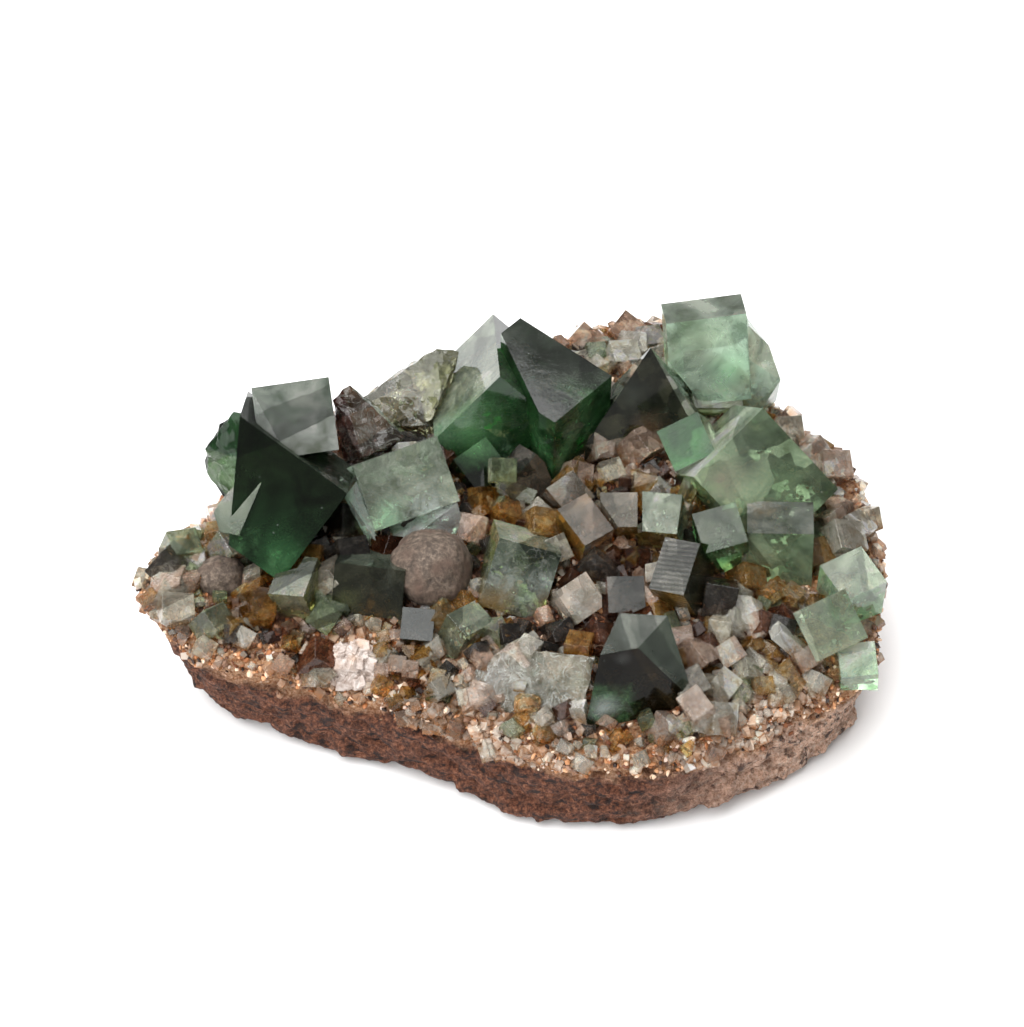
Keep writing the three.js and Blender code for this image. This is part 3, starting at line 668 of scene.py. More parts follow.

# Large crystals: node, slot, share of light kept over 5 mm, haze, tones of tops and sides (the crystal's
# colour with a painted sheen on the tops and painted light and shade on the sides), faces with a tone of
# their own (a point on the face in mm; a painted sheen, reflection or shade), painted glows and colour zones
# (middle and radius in mm, tone, broken up)
CRYSTALS = [
    ("crystal_cluster_left", "green_fluorite", (0.05, 0.13, 0.045), 0.18, "soft_green", "deep",
     [((-13, 0.7, 18.1), "top_slate"), ((-15.3, 0.6, 18), "top_slate"), ((-14.8, -2.9, 14.1), "deep"),
      ((-13.6, 1.6, 15.2), "dark_slate"), ((-13.4, -1.2, 16.6), "dark_slate"),
      ((-17.7, 2.9, 13.2), "dim_green"), ((-17.9, 2.2, 11.7), "soft_green")],
     [((-14.8, -3.9, 11.6), 4.6, "dim_green", False), ((-14.2, -4.8, 10.2), 2.6, "green", False),
      ((-16.4, -3.6, 11.4), 1.6, "bright_green", True), ((-14.2, -4.8, 10.0), 1.6, "bright_green", True),
      ((-18.4, 2.4, 11.6), 1.6, "white", True), ((-17, 1.9, 12.7), 1.4, "mint", True)]),
    ("crystal_twin_centre", "green_fluorite", (0.13, 0.34, 0.13), 0.17, "dark_slate", "dim_green",
     [((-3.2, 9.5, 12.5), "light_slate"), ((1.5, 7, 15.6), "deep_slate"), ((-0.8, 8.5, 15.7), "dark_slate"),
      ((-1.9, 4.9, 12.2), "dim_green"), ((0, 4.9, 13.5), "dim_green"), ((4.4, 4.7, 12.7), "dim_green"),
      ((-3.2, 2.6, 10.5), "black"), ((-1.3, 2.1, 10.4), "dark_olive"), ((-1.9, 2.8, 11.5), "black")],
     [((-2.9, 4.6, 12.8), 3.2, "bright_green", False), ((-0.8, 4.5, 10.9), 1.7, "mint", True),
      ((-4.6, 5.5, 12), 2.0, "mint", False), ((3, 3.1, 12), 2.6, "bright_green", True),
      ((4.6, 4.8, 13), 3.4, "bright_green", True),
      ((0.2, 8.6, 15.6), 1.6, "deep", False)]),
    ("crystal_cluster_right", "green_fluorite", (0.8, 0.84, 0.77), 0.26, "clear_green", "clear_green",
     [((15.6, -0.1, 13.4), "clear_green"), ((13.1, 3.2, 13.6), "silver"), ((12.3, 4, 13.4), "light_slate"),
      ((10.8, 2.3, 14), "dim_green"), ((11, 1.4, 12.7), "pale_mint"), ((12.3, 0.2, 10.9), "soft_green"),
      ((16.6, -2.7, 12.4), "slate"), ((16.6, -4.2, 10.3), "clear_green")],
     [((13.2, 1.8, 14.8), 1.8, "light_slate", False), ((14.6, 0.6, 14.2), 2.2, "dark_slate", False),
      ((17, 0, 13), 2.0, "soft_green", False), ((13, -0.6, 13.6), 1.8, "yellow_green", False),
      ((15.5, -2, 11.4), 1.7, "amber", True), ((15.2, -4.2, 9.2), 1.9, "amber", True)]),
    ("crystal_green_front", "green_fluorite", (0.36, 0.46, 0.22), 0.2, "soft_green", "olive",
     [((1, -3.5, 11.5), "light_slate"), ((-1.5, -4.5, 10.7), "olive"), ((0.5, -6.4, 10.8), "dark_slate")],
     [((0.7, -6.8, 10.1), 1.8, "white_mint", True), ((-1.5, -7.1, 9), 2.3, "amber", False),
      ((2.6, -7.3, 8.9), 1.7, "amber", False),
      ((-1.5, -6.4, 10.8), 1.9, "white_mint", True), ((2.2, -6, 10.4), 1.4, "white_mint", True)]),
    ("crystal_dark_peak", "dark_fluorite", (0.1, 0.11, 0.06), 0.18, "dark", "dark",
     [((8, 6.2, 13.3), "dark"), ((6.3, 7.3, 13.1), "dark_slate"), ((10.7, 8.3, 13), "light_slate"),
      ((10.2, 7.2, 14.1), "light_slate"), ((8, 5.2, 11.6), "brown_grey"), ((6.8, 4.8, 10.7), "pink")],
     [((8.6, 5.6, 12), 1.8, "brown", False), ((7.6, 6.6, 14), 1.6, "dark_slate", False)]),
    ("crystal_dark_left", "dark_fluorite", (0.14, 0.06, 0.05), 0.2, "dark_red", "dark_red",
     [((-8.9, 4.4, 13.5), "brown"), ((-8.5, 5.4, 13.7), "light_slate")],
     [((-9.3, 4.1, 13), 2.2, "white", True)]),
    ("crystal_striated", "dark_fluorite", (0.14, 0.12, 0.07), 0.36, "purple_grey", "dark_amber",
     [((9.9, -6.5, 12.1), "purple_grey"), ((11.5, -6.2, 10.5), "dark"), ((9.9, -7.5, 9.9), "dark_amber")],
     [((9.4, -7.6, 9.6), 1.3, "amber", True)]),
    ("crystal_dark_front", "dark_fluorite", (0.02, 0.016, 0.006), 0.2, "brown_grey", "black",
     [((7.4, -13.8, 9.1), "dark_brown"), ((7.2, -12.3, 12.3), "slate"), ((9.5, -12.6, 10.6), "dark_slate")],
     [((5.8, -14.3, 7.9), 2.4, "bright_green", True), ((5.6, -14.5, 8), 1.2, "white_mint", False),
      ((6.6, -13.4, 11.4), 0.8, "slate", False)]),
    ("crystal_dark_middle", "dark_fluorite", (0.12, 0.09, 0.08), 0.2, "purple_grey", "dark_red",
     [((7, -7.2, 10.3), "purple_grey"), ((5.8, -6.8, 9.7), "dark_red")], []),
    ("crystal_smoky_left", "dark_fluorite", (0.16, 0.15, 0.08), 0.14, "dark_slate", "dark",
     [((-8.5, -4.4, 10.6), "dark_slate"), ((-8.9, -6.7, 10), "dark"), ((-6.5, -5.7, 9.6), "dark")],
     [((-8.6, -7.4, 8.9), 1.9, "dark_amber", True), ((-10.2, -6.8, 9.4), 1.4, "olive", False),
      ((-7.4, -5.8, 10.2), 1.6, "silver", True)]),
    ("crystal_blue_grey_front", "dark_fluorite", (0.14, 0.17, 0.2), 0.2, "blue_grey", "dark",
     [((-6.1, -8.4, 9.4), "blue_grey")], []),
    ("crystal_pale_back_right", "pale_fluorite", (0.86, 0.91, 0.87), 0.34, "light_slate", "grey_mint",
     [((12, 10.5, 17.7), "slate"), ((12.7, 8.9, 15), "grey_mint"), ((9.7, 9.9, 14.7), "soft_green"),
      ((15.6, 9.5, 12.1), "grey_mint"), ((15.7, 10.4, 13.7), "silver"), ((16.6, 11.3, 12.6), "light_slate")],
     [((11.4, 9, 16.4), 2.6, "light_slate", False), ((13.8, 8.8, 14), 2.0, "mint", False),
      ((13.1, 8.6, 12.1), 1.5, "mint", True), ((16.2, 10, 12.8), 1.4, "white_mint", True)]),
    ("crystal_pale_left", "pale_fluorite", (0.62, 0.8, 0.62), 0.24, "silver", "white_mint",
     [((-7.7, 2.8, 12.6), "silver"), ((-6.6, -0.2, 12.9), "light_slate"), ((-9.8, -0.6, 11.9), "white_mint")],
     [((-9.9, -0.6, 11.9), 1.8, "white_mint", False), ((-5.8, -1.6, 10.4), 3.2, "white_mint", True),
      ((-5, -1.3, 11.5), 2.3, "white_mint", True), ((-7.7, -1.9, 11.5), 1.8, "mint", False),
      ((-8.6, -1.6, 11), 1.4, "yellow_green", True)]),
    ("crystal_broken_back", "pale_fluorite", (0.5, 0.5, 0.38), 0.16, "pale_olive", "pale_olive",
     [((-7.1, 10.2, 12.3), "cream")],
     [((-5.5, 7.7, 11.9), 1.8, "cream", True), ((-7.4, 8.4, 12), 1.6, "white", True),
      ((-4.4, 9.6, 12.6), 1.2, "olive", False)]),
    ("crystal_prism_right", "pale_fluorite", (0.4, 0.66, 0.44), 0.11, "light_slate", "soft_green",
     [((12.8, -4, 12.9), "light_slate"), ((11.4, -3.3, 11.2), "soft_green"),
      ((13.4, -4.7, 11), "soft_green")],
     [((13.4, -4.3, 9.9), 1.3, "amber", True), ((13.2, -4.6, 11.6), 1.2, "white_mint", True)]),
    ("crystal_pale_edge_right", "pale_fluorite", (0.7, 0.82, 0.64), 0.2, "pale_mint", "pale_mint",
     [((21.1, -5.5, 10.4), "silver"), ((18.8, -7.4, 10), "pale_mint"), ((21.2, -8.2, 9.6), "light_slate"),
      ((19.5, -9.7, 10.2), "light_slate"), ((21.2, -11.1, 8.6), "pale_mint")],
     [((17.6, -8.2, 9.4), 1.4, "white_mint", True), ((19.6, -10.4, 9.2), 1.4, "yellow_green", True),
      ((21.4, -6, 9), 1.4, "yellow_green", True)]),
    ("crystal_tall_middle", "pale_fluorite", (0.62, 0.52, 0.38), 0.2, "light_slate", "pink",
     [((6.9, -2.1, 12.5), "pink"), ((7, -2.2, 10.5), "amber"), ((7.8, -1.1, 11), "light_slate")],
     [((7, -2.6, 9.6), 2.0, "amber", False), ((7.4, -1.4, 11.6), 1.0, "white_mint", True)]),
    ("crystal_clear_middle", "pale_fluorite", (0.58, 0.62, 0.52), 0.18, "silver", "light_slate",
     [((9.2, -2.3, 12.6), "silver"), ((10.6, -1.8, 11), "pale_mint"), ((9.2, -2.9, 10.5), "dark_amber")],
     [((9.2, -2.9, 10.2), 1.5, "dark_amber", False), ((9.6, -2.4, 11.6), 1.1, "white_mint", True)]),
    ("crystal_white_front", "pale_fluorite", (0.75, 0.72, 0.66), 0.3, "brown_grey", "brown_grey",
     [((4.2, -7.3, 10.2), "pink"), ((3.1, -7.6, 9.4), "pink")], [((3.8, -7.6, 9.8), 1.2, "white", True)]),
    ("crystal_pale_front", "pale_fluorite", (0.5, 0.58, 0.44), 0.11, "light_slate", "yellow_green",
     [((-2.3, -9.5, 8.7), "yellow_green")], [((-3.4, -9.6, 9), 1.0, "white_mint", True)]),
    ("crystal_grey_peak", "amber_fluorite", (0.3, 0.22, 0.18), 0.11, "brown_grey", "brown",
     [((1.4, 1.8, 10.9), "brown_grey"), ((0.2, 2.5, 11.5), "purple_grey"), ((-0.3, 1.4, 10.2), "dark_amber")],
     [((2, 1.6, 10.2), 1.0, "pink", True)]),
    ("crystal_pink_middle", "amber_fluorite", (0.6, 0.4, 0.3), 0.11, "pink", "brown",
     [((3.6, 0.2, 11.7), "pink")], [((3.4, 0, 11.2), 1.0, "cream", True)]),
    ("crystal_amber_middle", "amber_fluorite", (0.6, 0.36, 0.16), 0.11, "pink", "amber",
     [((3.5, -2.8, 10.8), "amber"), ((4.6, -2.6, 12.2), "pink"), ((5.3, -3.4, 10.6), "pink")],
     [((4, -3.6, 10), 1.8, "amber", False), ((4.4, -3.2, 10.2), 1.2, "cream", True)]),
    ("crystal_yellow_left", "amber_fluorite", (0.5, 0.46, 0.26), 0.11, "light_slate", "yellow",
     [((-13.5, -7.2, 9), "pale_olive"), ((-12.1, -6.2, 9.5), "olive"), ((-13.5, -5.9, 10.6), "light_slate")],
     [((-13.7, -7, 8.2), 1.4, "amber", True), ((-13, -6.8, 10), 1.0, "white", True)]),
    ("crystal_broken_front", "white_quartz", (0.66, 0.62, 0.54), 0.3, "brown_grey", "pink", [],
     [((-1, -12, 8), 2.6, "white", True), ((1.5, -12.5, 8.6), 2.5, "light_slate", True),
      ((4.2, -12.6, 8.4), 2.2, "yellow_green", True), ((1.5, -14.5, 7), 1.6, "white", True)]),
]
# Small parts of a large crystal with a tone of their own, a painted sheen or a painted glow of light:
# middle and reach in mm, tone
REGIONS = {
    "crystal_cluster_left": [((-17.4, -3.1, 13.3), 1.6, "light_slate")],
    "crystal_pale_left": [((-9.7, -0.9, 11.6), 2.0, "white_mint"), ((-5.6, -1.2, 10.4), 2.2, "white_mint")],
}
# Where a crystal is chipped or broken: middle and reach in mm, depth of the waves in mm
RIPPLES = {
    "crystal_cluster_left": ((-18.6, 3.2, 11.8), 3.0, 0.1),
    "crystal_dark_left": ((-9, 5, 12), 5.0, 0.09),
    "crystal_broken_back": ((-6, 9.5, 12), 6.0, 0.06),
    "crystal_broken_front": ((1.5, -12.5, 8), 7.0, 0.05),
    "crystal_pale_left": ((-5.6, -1.2, 10.2), 2.4, 0.06),
}
STRIPED = {"crystal_striated": (0.35, 0.1, 0.35)}
# Share of the painted facet reflections in each large crystal's colour
FACET_REFLECTION_SHARE = 0.75
FACET_REFLECTION_SHARES = {"crystal_twin_centre": 0.5, "crystal_cluster_left": 0.45,
                "crystal_pale_back_right": 0.2, "crystal_pale_left": 0.3, "crystal_white_front": 0.4}
VEINED = {"crystal_broken_front": 0.7, "crystal_broken_back": 0.6, "crystal_dark_left": 0.5,
          "crystal_pale_left": 0.25, "crystal_green_front": 0.4, "crystal_white_front": 0.4}
# Share of the mirror reflection each large crystal keeps: the dimming is painted shade on its reflections
REFLECTIONS_KEPT = {"crystal_dark_front": 0.25, "crystal_cluster_left": 0.45, "crystal_green_front": 0.5,
           "crystal_tall_middle": 0.6, "crystal_clear_middle": 0.6, "crystal_grey_peak": 0.6,
           "crystal_pink_middle": 0.6, "crystal_amber_middle": 0.6, "crystal_dark_middle": 0.6,
           "crystal_smoky_left": 0.6, "crystal_yellow_left": 0.6, "crystal_striated": 0.6,
           "crystal_cluster_right": 0.7, "crystal_prism_right": 0.7, "crystal_broken_front": 0.6}
SATIN = {"crystal_pale_back_right": 0.14, "crystal_cluster_right": 0.08, "crystal_prism_right": 0.08}
BROKEN = {"crystal_broken_front": 1.6, "crystal_broken_back": 0.9, "crystal_dark_left": 1.6,
          "crystal_white_front": 0.8}


def build_large_crystals():
    made = []
    for node_name, slot, through, haze, top, side, faces, painted_glows_and_zones in CRYSTALS:
        material = crystal_material(node_name.replace("crystal", "fluorite"), through, haze, painted_glows_and_zones,
                                    STRIPED.get(node_name), BROKEN.get(node_name, 0.12),
                                    FACET_REFLECTION_SHARES.get(node_name, FACET_REFLECTION_SHARE),
                                    FACET_REFLECTION_LARGE if slot == "green_fluorite" else FACET_REFLECTION_SMALL,
                                    VEINED.get(node_name, 0.0), REFLECTIONS_KEPT.get(node_name, 1.0),
                                    SATIN.get(node_name, 0.03))
        made.append(build_crystal(node_name, material, top, side, faces))
    return made


def flake(seed):
    """A thin uneven plate, one unit wide."""
    chooser = random.Random(seed)
    form = bmesh.new()
    bmesh.ops.create_circle(form, cap_ends=True, radius=0.5, segments=7)
    for vertex in form.verts:
        vertex.co *= chooser.uniform(0.5, 1)
        vertex.co.z = chooser.uniform(-0.05, 0.05)
    bmesh.ops.triangulate(form, faces=form.faces)
    bmesh.ops.solidify(form, geom=form.faces, thickness=0.02)
    return shape_of(form)


def flaw_material(name, dark, light):
    """Healed cracks inside a crystal: thin veils that catch the light."""
    graph = Graph(name)
    fine = graph.noise(0.5 * MM, 4.0, 0.6)
    tint = graph.attribute("tint")
    value = graph.maths("ADD", tint, graph.centred(fine))
    graph.feed("Base Color", graph.ramp(value, (0.2, dark), (0.8, light)))
    graph.set("Transmission Weight", 0.6)
    graph.set("IOR", 1.2)
    graph.roughness(fine, 0.1, 0.35)
    graph.bump(fine, 0.05 * MM, 0.4)
    return graph.material


def build_flaws():
    """Small bright veils where the light breaks up inside a crystal, each well below its surface."""
    chooser = random.Random(11)
    shapes = [flake(seed) for seed in range(5)]
    made = {"green_fluorite": Scatter("veils_green"), "pale_fluorite": Scatter("veils_pale")}
    for node_name, slot, *_, painted_glows_and_zones in CRYSTALS:
        if slot not in made or node_name == "crystal_cluster_right":
            continue
        shell = BVHTree.FromBMesh(welded(node_name))
        # The veils go where the painted glows are broken up
        for centre, radius, tone, broken in painted_glows_and_zones:
            if not broken:
                continue
            placed = 0
            for _ in range(VEIL_TRIES):
                spread = Vector([chooser.gauss(0, 0.45) for _ in range(3)]) * radius
                point = (Vector(centre) + spread) * MM
                near, normal, _, gap = shell.find_nearest(point)
                width = chooser.uniform(0.15, 0.55) * MM
                if (point - near).dot(normal) > 0 or gap < width * 0.55:
                    continue
                turn = any_turn(chooser)
                size = Vector((width, width * chooser.uniform(0.4, 0.9), width))
                made[slot].add(chooser.choice(shapes), point, size, turn, chooser.random())
                placed += 1
                if placed == VEILS_PER_GLOW:
                    break
    green_veil = flaw_material("green_veil", (0.5, 0.66, 0.45), (0.92, 1.0, 0.88))
    pale_veil = flaw_material("pale_veil", (0.66, 0.76, 0.62), (0.97, 1.0, 0.94))
    made["green_fluorite"].piece(green_veil, "green_fluorite")
    made["pale_fluorite"].piece(pale_veil, "pale_fluorite")


def build_nodule(name, node_name, material):
    low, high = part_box(node_name)
    middle = (low + high) / 2
    radii = (high - low) / 2
    middle.z = high.z - radii.x * NODULE_HEIGHT
    form = bmesh.new()
    bmesh.ops.create_icosphere(form, subdivisions=5, radius=1)
    for vertex in form.verts:
        way = vertex.co.normalized()
        lump = 1 + sum(share * noise.noise(way * fineness) for share, fineness in NODULE_LUMPS)
        vertex.co = Vector((way.x * radii.x, way.y * radii.y,
                            way.z * radii.x * NODULE_HEIGHT)) * lump + middle
    return add_piece(name, mesh_of(form, name, smooth=True), material, [node_name])


class Scatter:
    """Many small closed shapes joined in one mesh, each with its tint, and its height from foot to top."""

    def __init__(self, name):
        self.name = name
        self.vertices = []
        self.faces = []
        self.tints = []
        self.heights = []

    def add(self, shape, centre, size, turn, tint):
        corners, faces = shape
        start = len(self.vertices)
        matrix = turn.to_matrix() @ Matrix.Diagonal(size)
        placed = [matrix @ corner for corner in corners]
        top = max(corner.z for corner in placed)
        self.vertices += [corner + centre for corner in placed]
        self.faces += [[index + start for index in face] for face in faces]
        self.tints += [tint] * len(corners)
        self.heights += [0.5 + 0.5 * corner.z / top for corner in placed]

    def piece(self, material, slot, nodes=()):
        mesh = bpy.data.meshes.new(self.name)
        mesh.from_pydata(self.vertices, [], self.faces)
        for label, values in (("tint", self.tints), ("height", self.heights)):
            mesh.attributes.new(label, "FLOAT", "POINT").data.foreach_set("value", values)
        return add_piece(self.name, mesh, material, nodes)


def any_turn(chooser):
    return Euler([chooser.uniform(0, ANY_ANGLE) for _ in range(3)])


def shape_of(form):
    bmesh.ops.recalc_face_normals(form, faces=form.faces)
    form.verts.ensure_lookup_table()
    shape = ([v.co.copy() for v in form.verts], [[v.index for v in f.verts] for f in form.faces])
    form.free()
    return shape


def worn_cube(width):
    """A cube with edge 1 and narrow worn edges."""
    form = bmesh.new()
    bmesh.ops.create_cube(form, size=1)
    bevel(form, form.edges, width)
    return shape_of(form)


def chipped_cube(seed):
    """A cube with edge 1, one or two corners broken off and worn edges."""
    chooser = random.Random(seed)
    form = bmesh.new()
    bmesh.ops.create_cube(form, size=1)
    for _ in range(chooser.choice((1, 2))):
        way = Vector([chooser.choice((-1, 1)) * chooser.uniform(0.3, 1) for _ in range(3)]).normalized()
        cut = bmesh.ops.bisect_plane(form, geom=form.verts[:] + form.edges[:] + form.faces[:],
                                     plane_co=way * chooser.uniform(0.38, 0.55), plane_no=way,
                                     clear_outer=True)
        rim = [item for item in cut["geom_cut"] if isinstance(item, bmesh.types.BMEdge)]
        bmesh.ops.contextual_create(form, geom=rim)
    bevel(form, form.edges, 0.02)
    return shape_of(form)


def grain_shape(seed):
    form = bmesh.new()
    bmesh.ops.create_icosphere(form, subdivisions=1, radius=0.5)
    for vertex in form.verts:
        vertex.co *= 1 + 0.35 * noise.noise(vertex.co * 3 + Vector((seed, 0, 0)))
    return shape_of(form)


# Tints of the druse by place on the rock, seen from above in mm: middle, reach, and the share of each tint
TINTS = ("clear", "green", "amber", "smoky", "red_brown", "pink")
ZONES = [
    ((-20, -4), 5, (4, 4, 2, 1, 1, 2)),
    ((-14, -9), 5, (3, 2, 6, 1, 2, 2)),
    ((-6, -9), 5, (3, 1, 5, 3, 3, 2)),
    ((0, -14), 5, (5, 0, 2, 1, 1, 6)),
    ((3, -1), 5, (2, 0, 6, 1, 2, 5)),
    ((5, -8), 4, (1, 0, 2, 4, 6, 2)),
    ((13, -9), 5, (4, 1, 2, 1, 2, 5)),
    ((14, -13), 4, (5, 0, 2, 0, 1, 6)),
    ((21, -2), 5, (6, 3, 2, 0, 0, 3)),
    ((17, -4), 3, (1, 0, 7, 0, 3, 1)),
    ((19, 6), 5, (5, 0, 3, 0, 1, 6)),
    ((8, 14), 8, (6, 2, 2, 1, 1, 5)),
    ((-6, 10), 7, (4, 3, 2, 1, 1, 2)),
    ((7, 4), 3, (3, 0, 2, 3, 1, 4)),
    ((-10, -3), 5, (2, 1, 4, 3, 3, 0)),
]
ZONE_BASE = (1.8, 0.5, 1.5, 0.5, 0.8, 1.6)


def tint_at(x, y, chooser):
    """Tint of a crystal at a place in mm: neighbours often share it."""
    weights = list(ZONE_BASE)
    for (middle_x, middle_y), reach, shares in ZONES:
        near = math.exp(-((x - middle_x) ** 2 + (y - middle_y) ** 2) / (reach * 0.7) ** 2)
        weights = [weight + 3 * near * share for weight, share in zip(weights, shares)]
    drift = [math.exp(5 * noise.noise(Vector((x / 2.5, y / 2.5, 9.0 * i)))) for i in range(len(TINTS))]
    return chooser.choices(TINTS, [weight * share for weight, share in zip(weights, drift)])[0]


# Middle of the white quartz patch, in mm
QUARTZ_SPOT = (-9.8, -9.6)
QUARTZ_CLEARING = 1.7 * MM

# Stretches of the rim with a white sugary crust, in mm: middle and reach
SUGARY = [((-4, -13.5, 6), 3.5), ((1, -15.5, 5.5), 3), ((14, -14, 6), 4), ((22, 2, 7), 3)]


def sugar_at(point):
    """How much of the sugary crust lies at a point of the rim."""
    return sum(math.exp(-((point / MM - Vector(spot)).length / reach) ** 2) for spot, reach in SUGARY)


# Single small crystals, in mm: place on the rock, edge, tint, lightness from 0 to 1, attitude
SINGLES = [
    ((13.8, -8.1), 1.7, "clear", 0.6, (0.3, 0.5, 0.6)),
    ((11.2, -10.3), 2.3, "pink", 0.4, (0.5, 0.4, 0.9)),
    ((13.3, -10), 1.6, "pink", 0.7, (0.6, -0.3, 0.5)),
    ((12.8, -12.3), 1.7, "clear", 0.7, (0.4, 0.2, 1.1)),
    ((15.3, -11.9), 1.2, "amber", 0.6, (0.5, 0.2, 0.3)),
    ((15.4, -8.3), 1.6, "red_brown", 0.5, (0.4, 0.6, 0.2)),
    ((17, -7.4), 1.4, "red_brown", 0.3, (0.2, 0.6, 0.9)),
    ((-20.7, -1.5), 2.0, "green", 0.3, (0.3, 0.2, 0.4)),
    ((-21.2, -3.3), 1.5, "clear", 0.7, (0.5, 0.6, 0.9)),
    ((-21, -6.1), 2.1, "clear", 0.5, (0.4, 0.3, 0.2)),
    ((-18.5, -7.3), 1.8, "green", 0.6, (0.5, 0.3, 0.8)),
    ((-17.3, -7.9), 1.3, "smoky", 0.7, (0.6, 0.2, 0.3)),
    ((2.8, -8.9), 1.5, "smoky", 0.4, (0.6, 0.2, 0.5)),
    ((-10.1, -3.3), 2.0, "smoky", 0.3, (0.5, 0.2, 0.4)),
    ((7.1, 13.5), 1.9, "clear", 0.6, (0.2, 0.2, 0.3)),
    ((5.4, 14.2), 1.3, "green", 0.3, (0.2, 0.1, 0.2)),
    ((8.8, 15.8), 1.7, "green", 0.8, (0.2, 0.2, 0.4)),
    ((7.7, 15), 1.7, "clear", 0.7, (0.3, 0.2, 0.1)),
    ((-11.4, -4.9), 2.2, "clear", 0.5, (0.5, 0.5, 0.9)),
    ((-17.6, -1.8), 2.0, "green", 0.8, (0.4, 0.3, 0.7)),
    ((5.7, 5.1), 1.9, "pink", 0.6, (0.6, 0.3, 0.4)),
    ((8.1, 5), 2.1, "pink", 0.4, (0.5, 0.4, 0.9)),
    ((4, 2.9), 1.6, "pink", 0.5, (0.6, 0.5, 0.2)),
    ((6.1, 3.2), 1.5, "clear", 0.4, (0.5, 0.1, 0.5)),
    ((14.5, -4.9), 1.8, "amber", 0.5, (0.4, 0.6, 0.3)),
    ((16, -5.6), 1.5, "amber", 0.6, (0.5, 0.3, 0.9)),
    ((20.5, -1.3), 2.3, "clear", 0.6, (0.4, 0.5, 0.4)),
    ((21.4, -0.2), 1.9, "clear", 0.7, (0.3, 0.4, 0.9)),
    ((18.6, -2.6), 2.0, "amber", 0.5, (0.4, 0.3, 0.6)),
    ((20.2, 4.9), 2.0, "pink", 0.7, (0.5, 0.3, 0.3)),
    ((-0.4, -9.2), 1.4, "smoky", 0.3, (0.5, 0.4, 0.4)),
    ((5.4, -9.3), 1.5, "red_brown", 0.4, (0.5, 0.5, 0.4)),
    ((7.9, -8.7), 1.7, "red_brown", 0.3, (0.4, 0.3, 0.8)),
    ((14.4, -10.9), 1.4, "clear", 0.6, (0.5, 0.6, 0.4)),
    ((-2.1, -13), 1.5, "pink", 0.8, (0.3, 0.6, 0.4)),
    ((-4.4, -12.2), 1.3, "clear", 0.8, (0.4, 0.2, 0.7)),
    ((-2, -10.4), 1.2, "smoky", 0.5, (0.5, 0.4, 0.7)),
    ((-6.4, 5.8), 1.7, "smoky", 0.2, (0.4, 0.2, 0.5)),
    ((-0.4, -0.3), 1.5, "amber", 0.3, (0.5, 0.3, 0.4)),
    ((1.8, -1.3), 2.0, "amber", 0.5, (0.5, 0.4, 0.2)),
    ((0.5, -3.3), 1.2, "pink", 0.6, (0.6, 0.2, 0.9)),
]
# Slivers grown against the large crystals, in mm: middle, size, tint, lightness, attitude
SLIVERS = [
    ((-10.4, -0.9, 9.6), (1.1, 1.2, 2.2), "green", 0.7, (-0.4, 0.5, 0.6)),
    ((-0.6, 1.6, 12.2), (1.6, 1.5, 1.3), "green", 0.25, (0.7, 0.15, 0.1)),
    ((-6.7, 3.6, 11.9), (1.3, 0.9, 1.0), "clear", 0.8, (0.5, 0.3, 0.4)),
    ((0.2, 1.6, 10.2), (2.6, 1.0, 1.2), "green", 0.8, (0.5, 0.2, -0.3)),
    ((13, 8.6, 11.2), (3.2, 1.2, 1.2), "green", 0.9, (0.4, 0.1, 0.1)),
    ((11.2, 1.2, 11.6), (0.7, 0.9, 2.6), "green", 1.0, (-0.3, 0.5, 0.3)),
    ((17, -9.6, 8.6), (0.9, 1.2, 2.6), "clear", 1.0, (-0.4, -0.7, 0.4)),
]


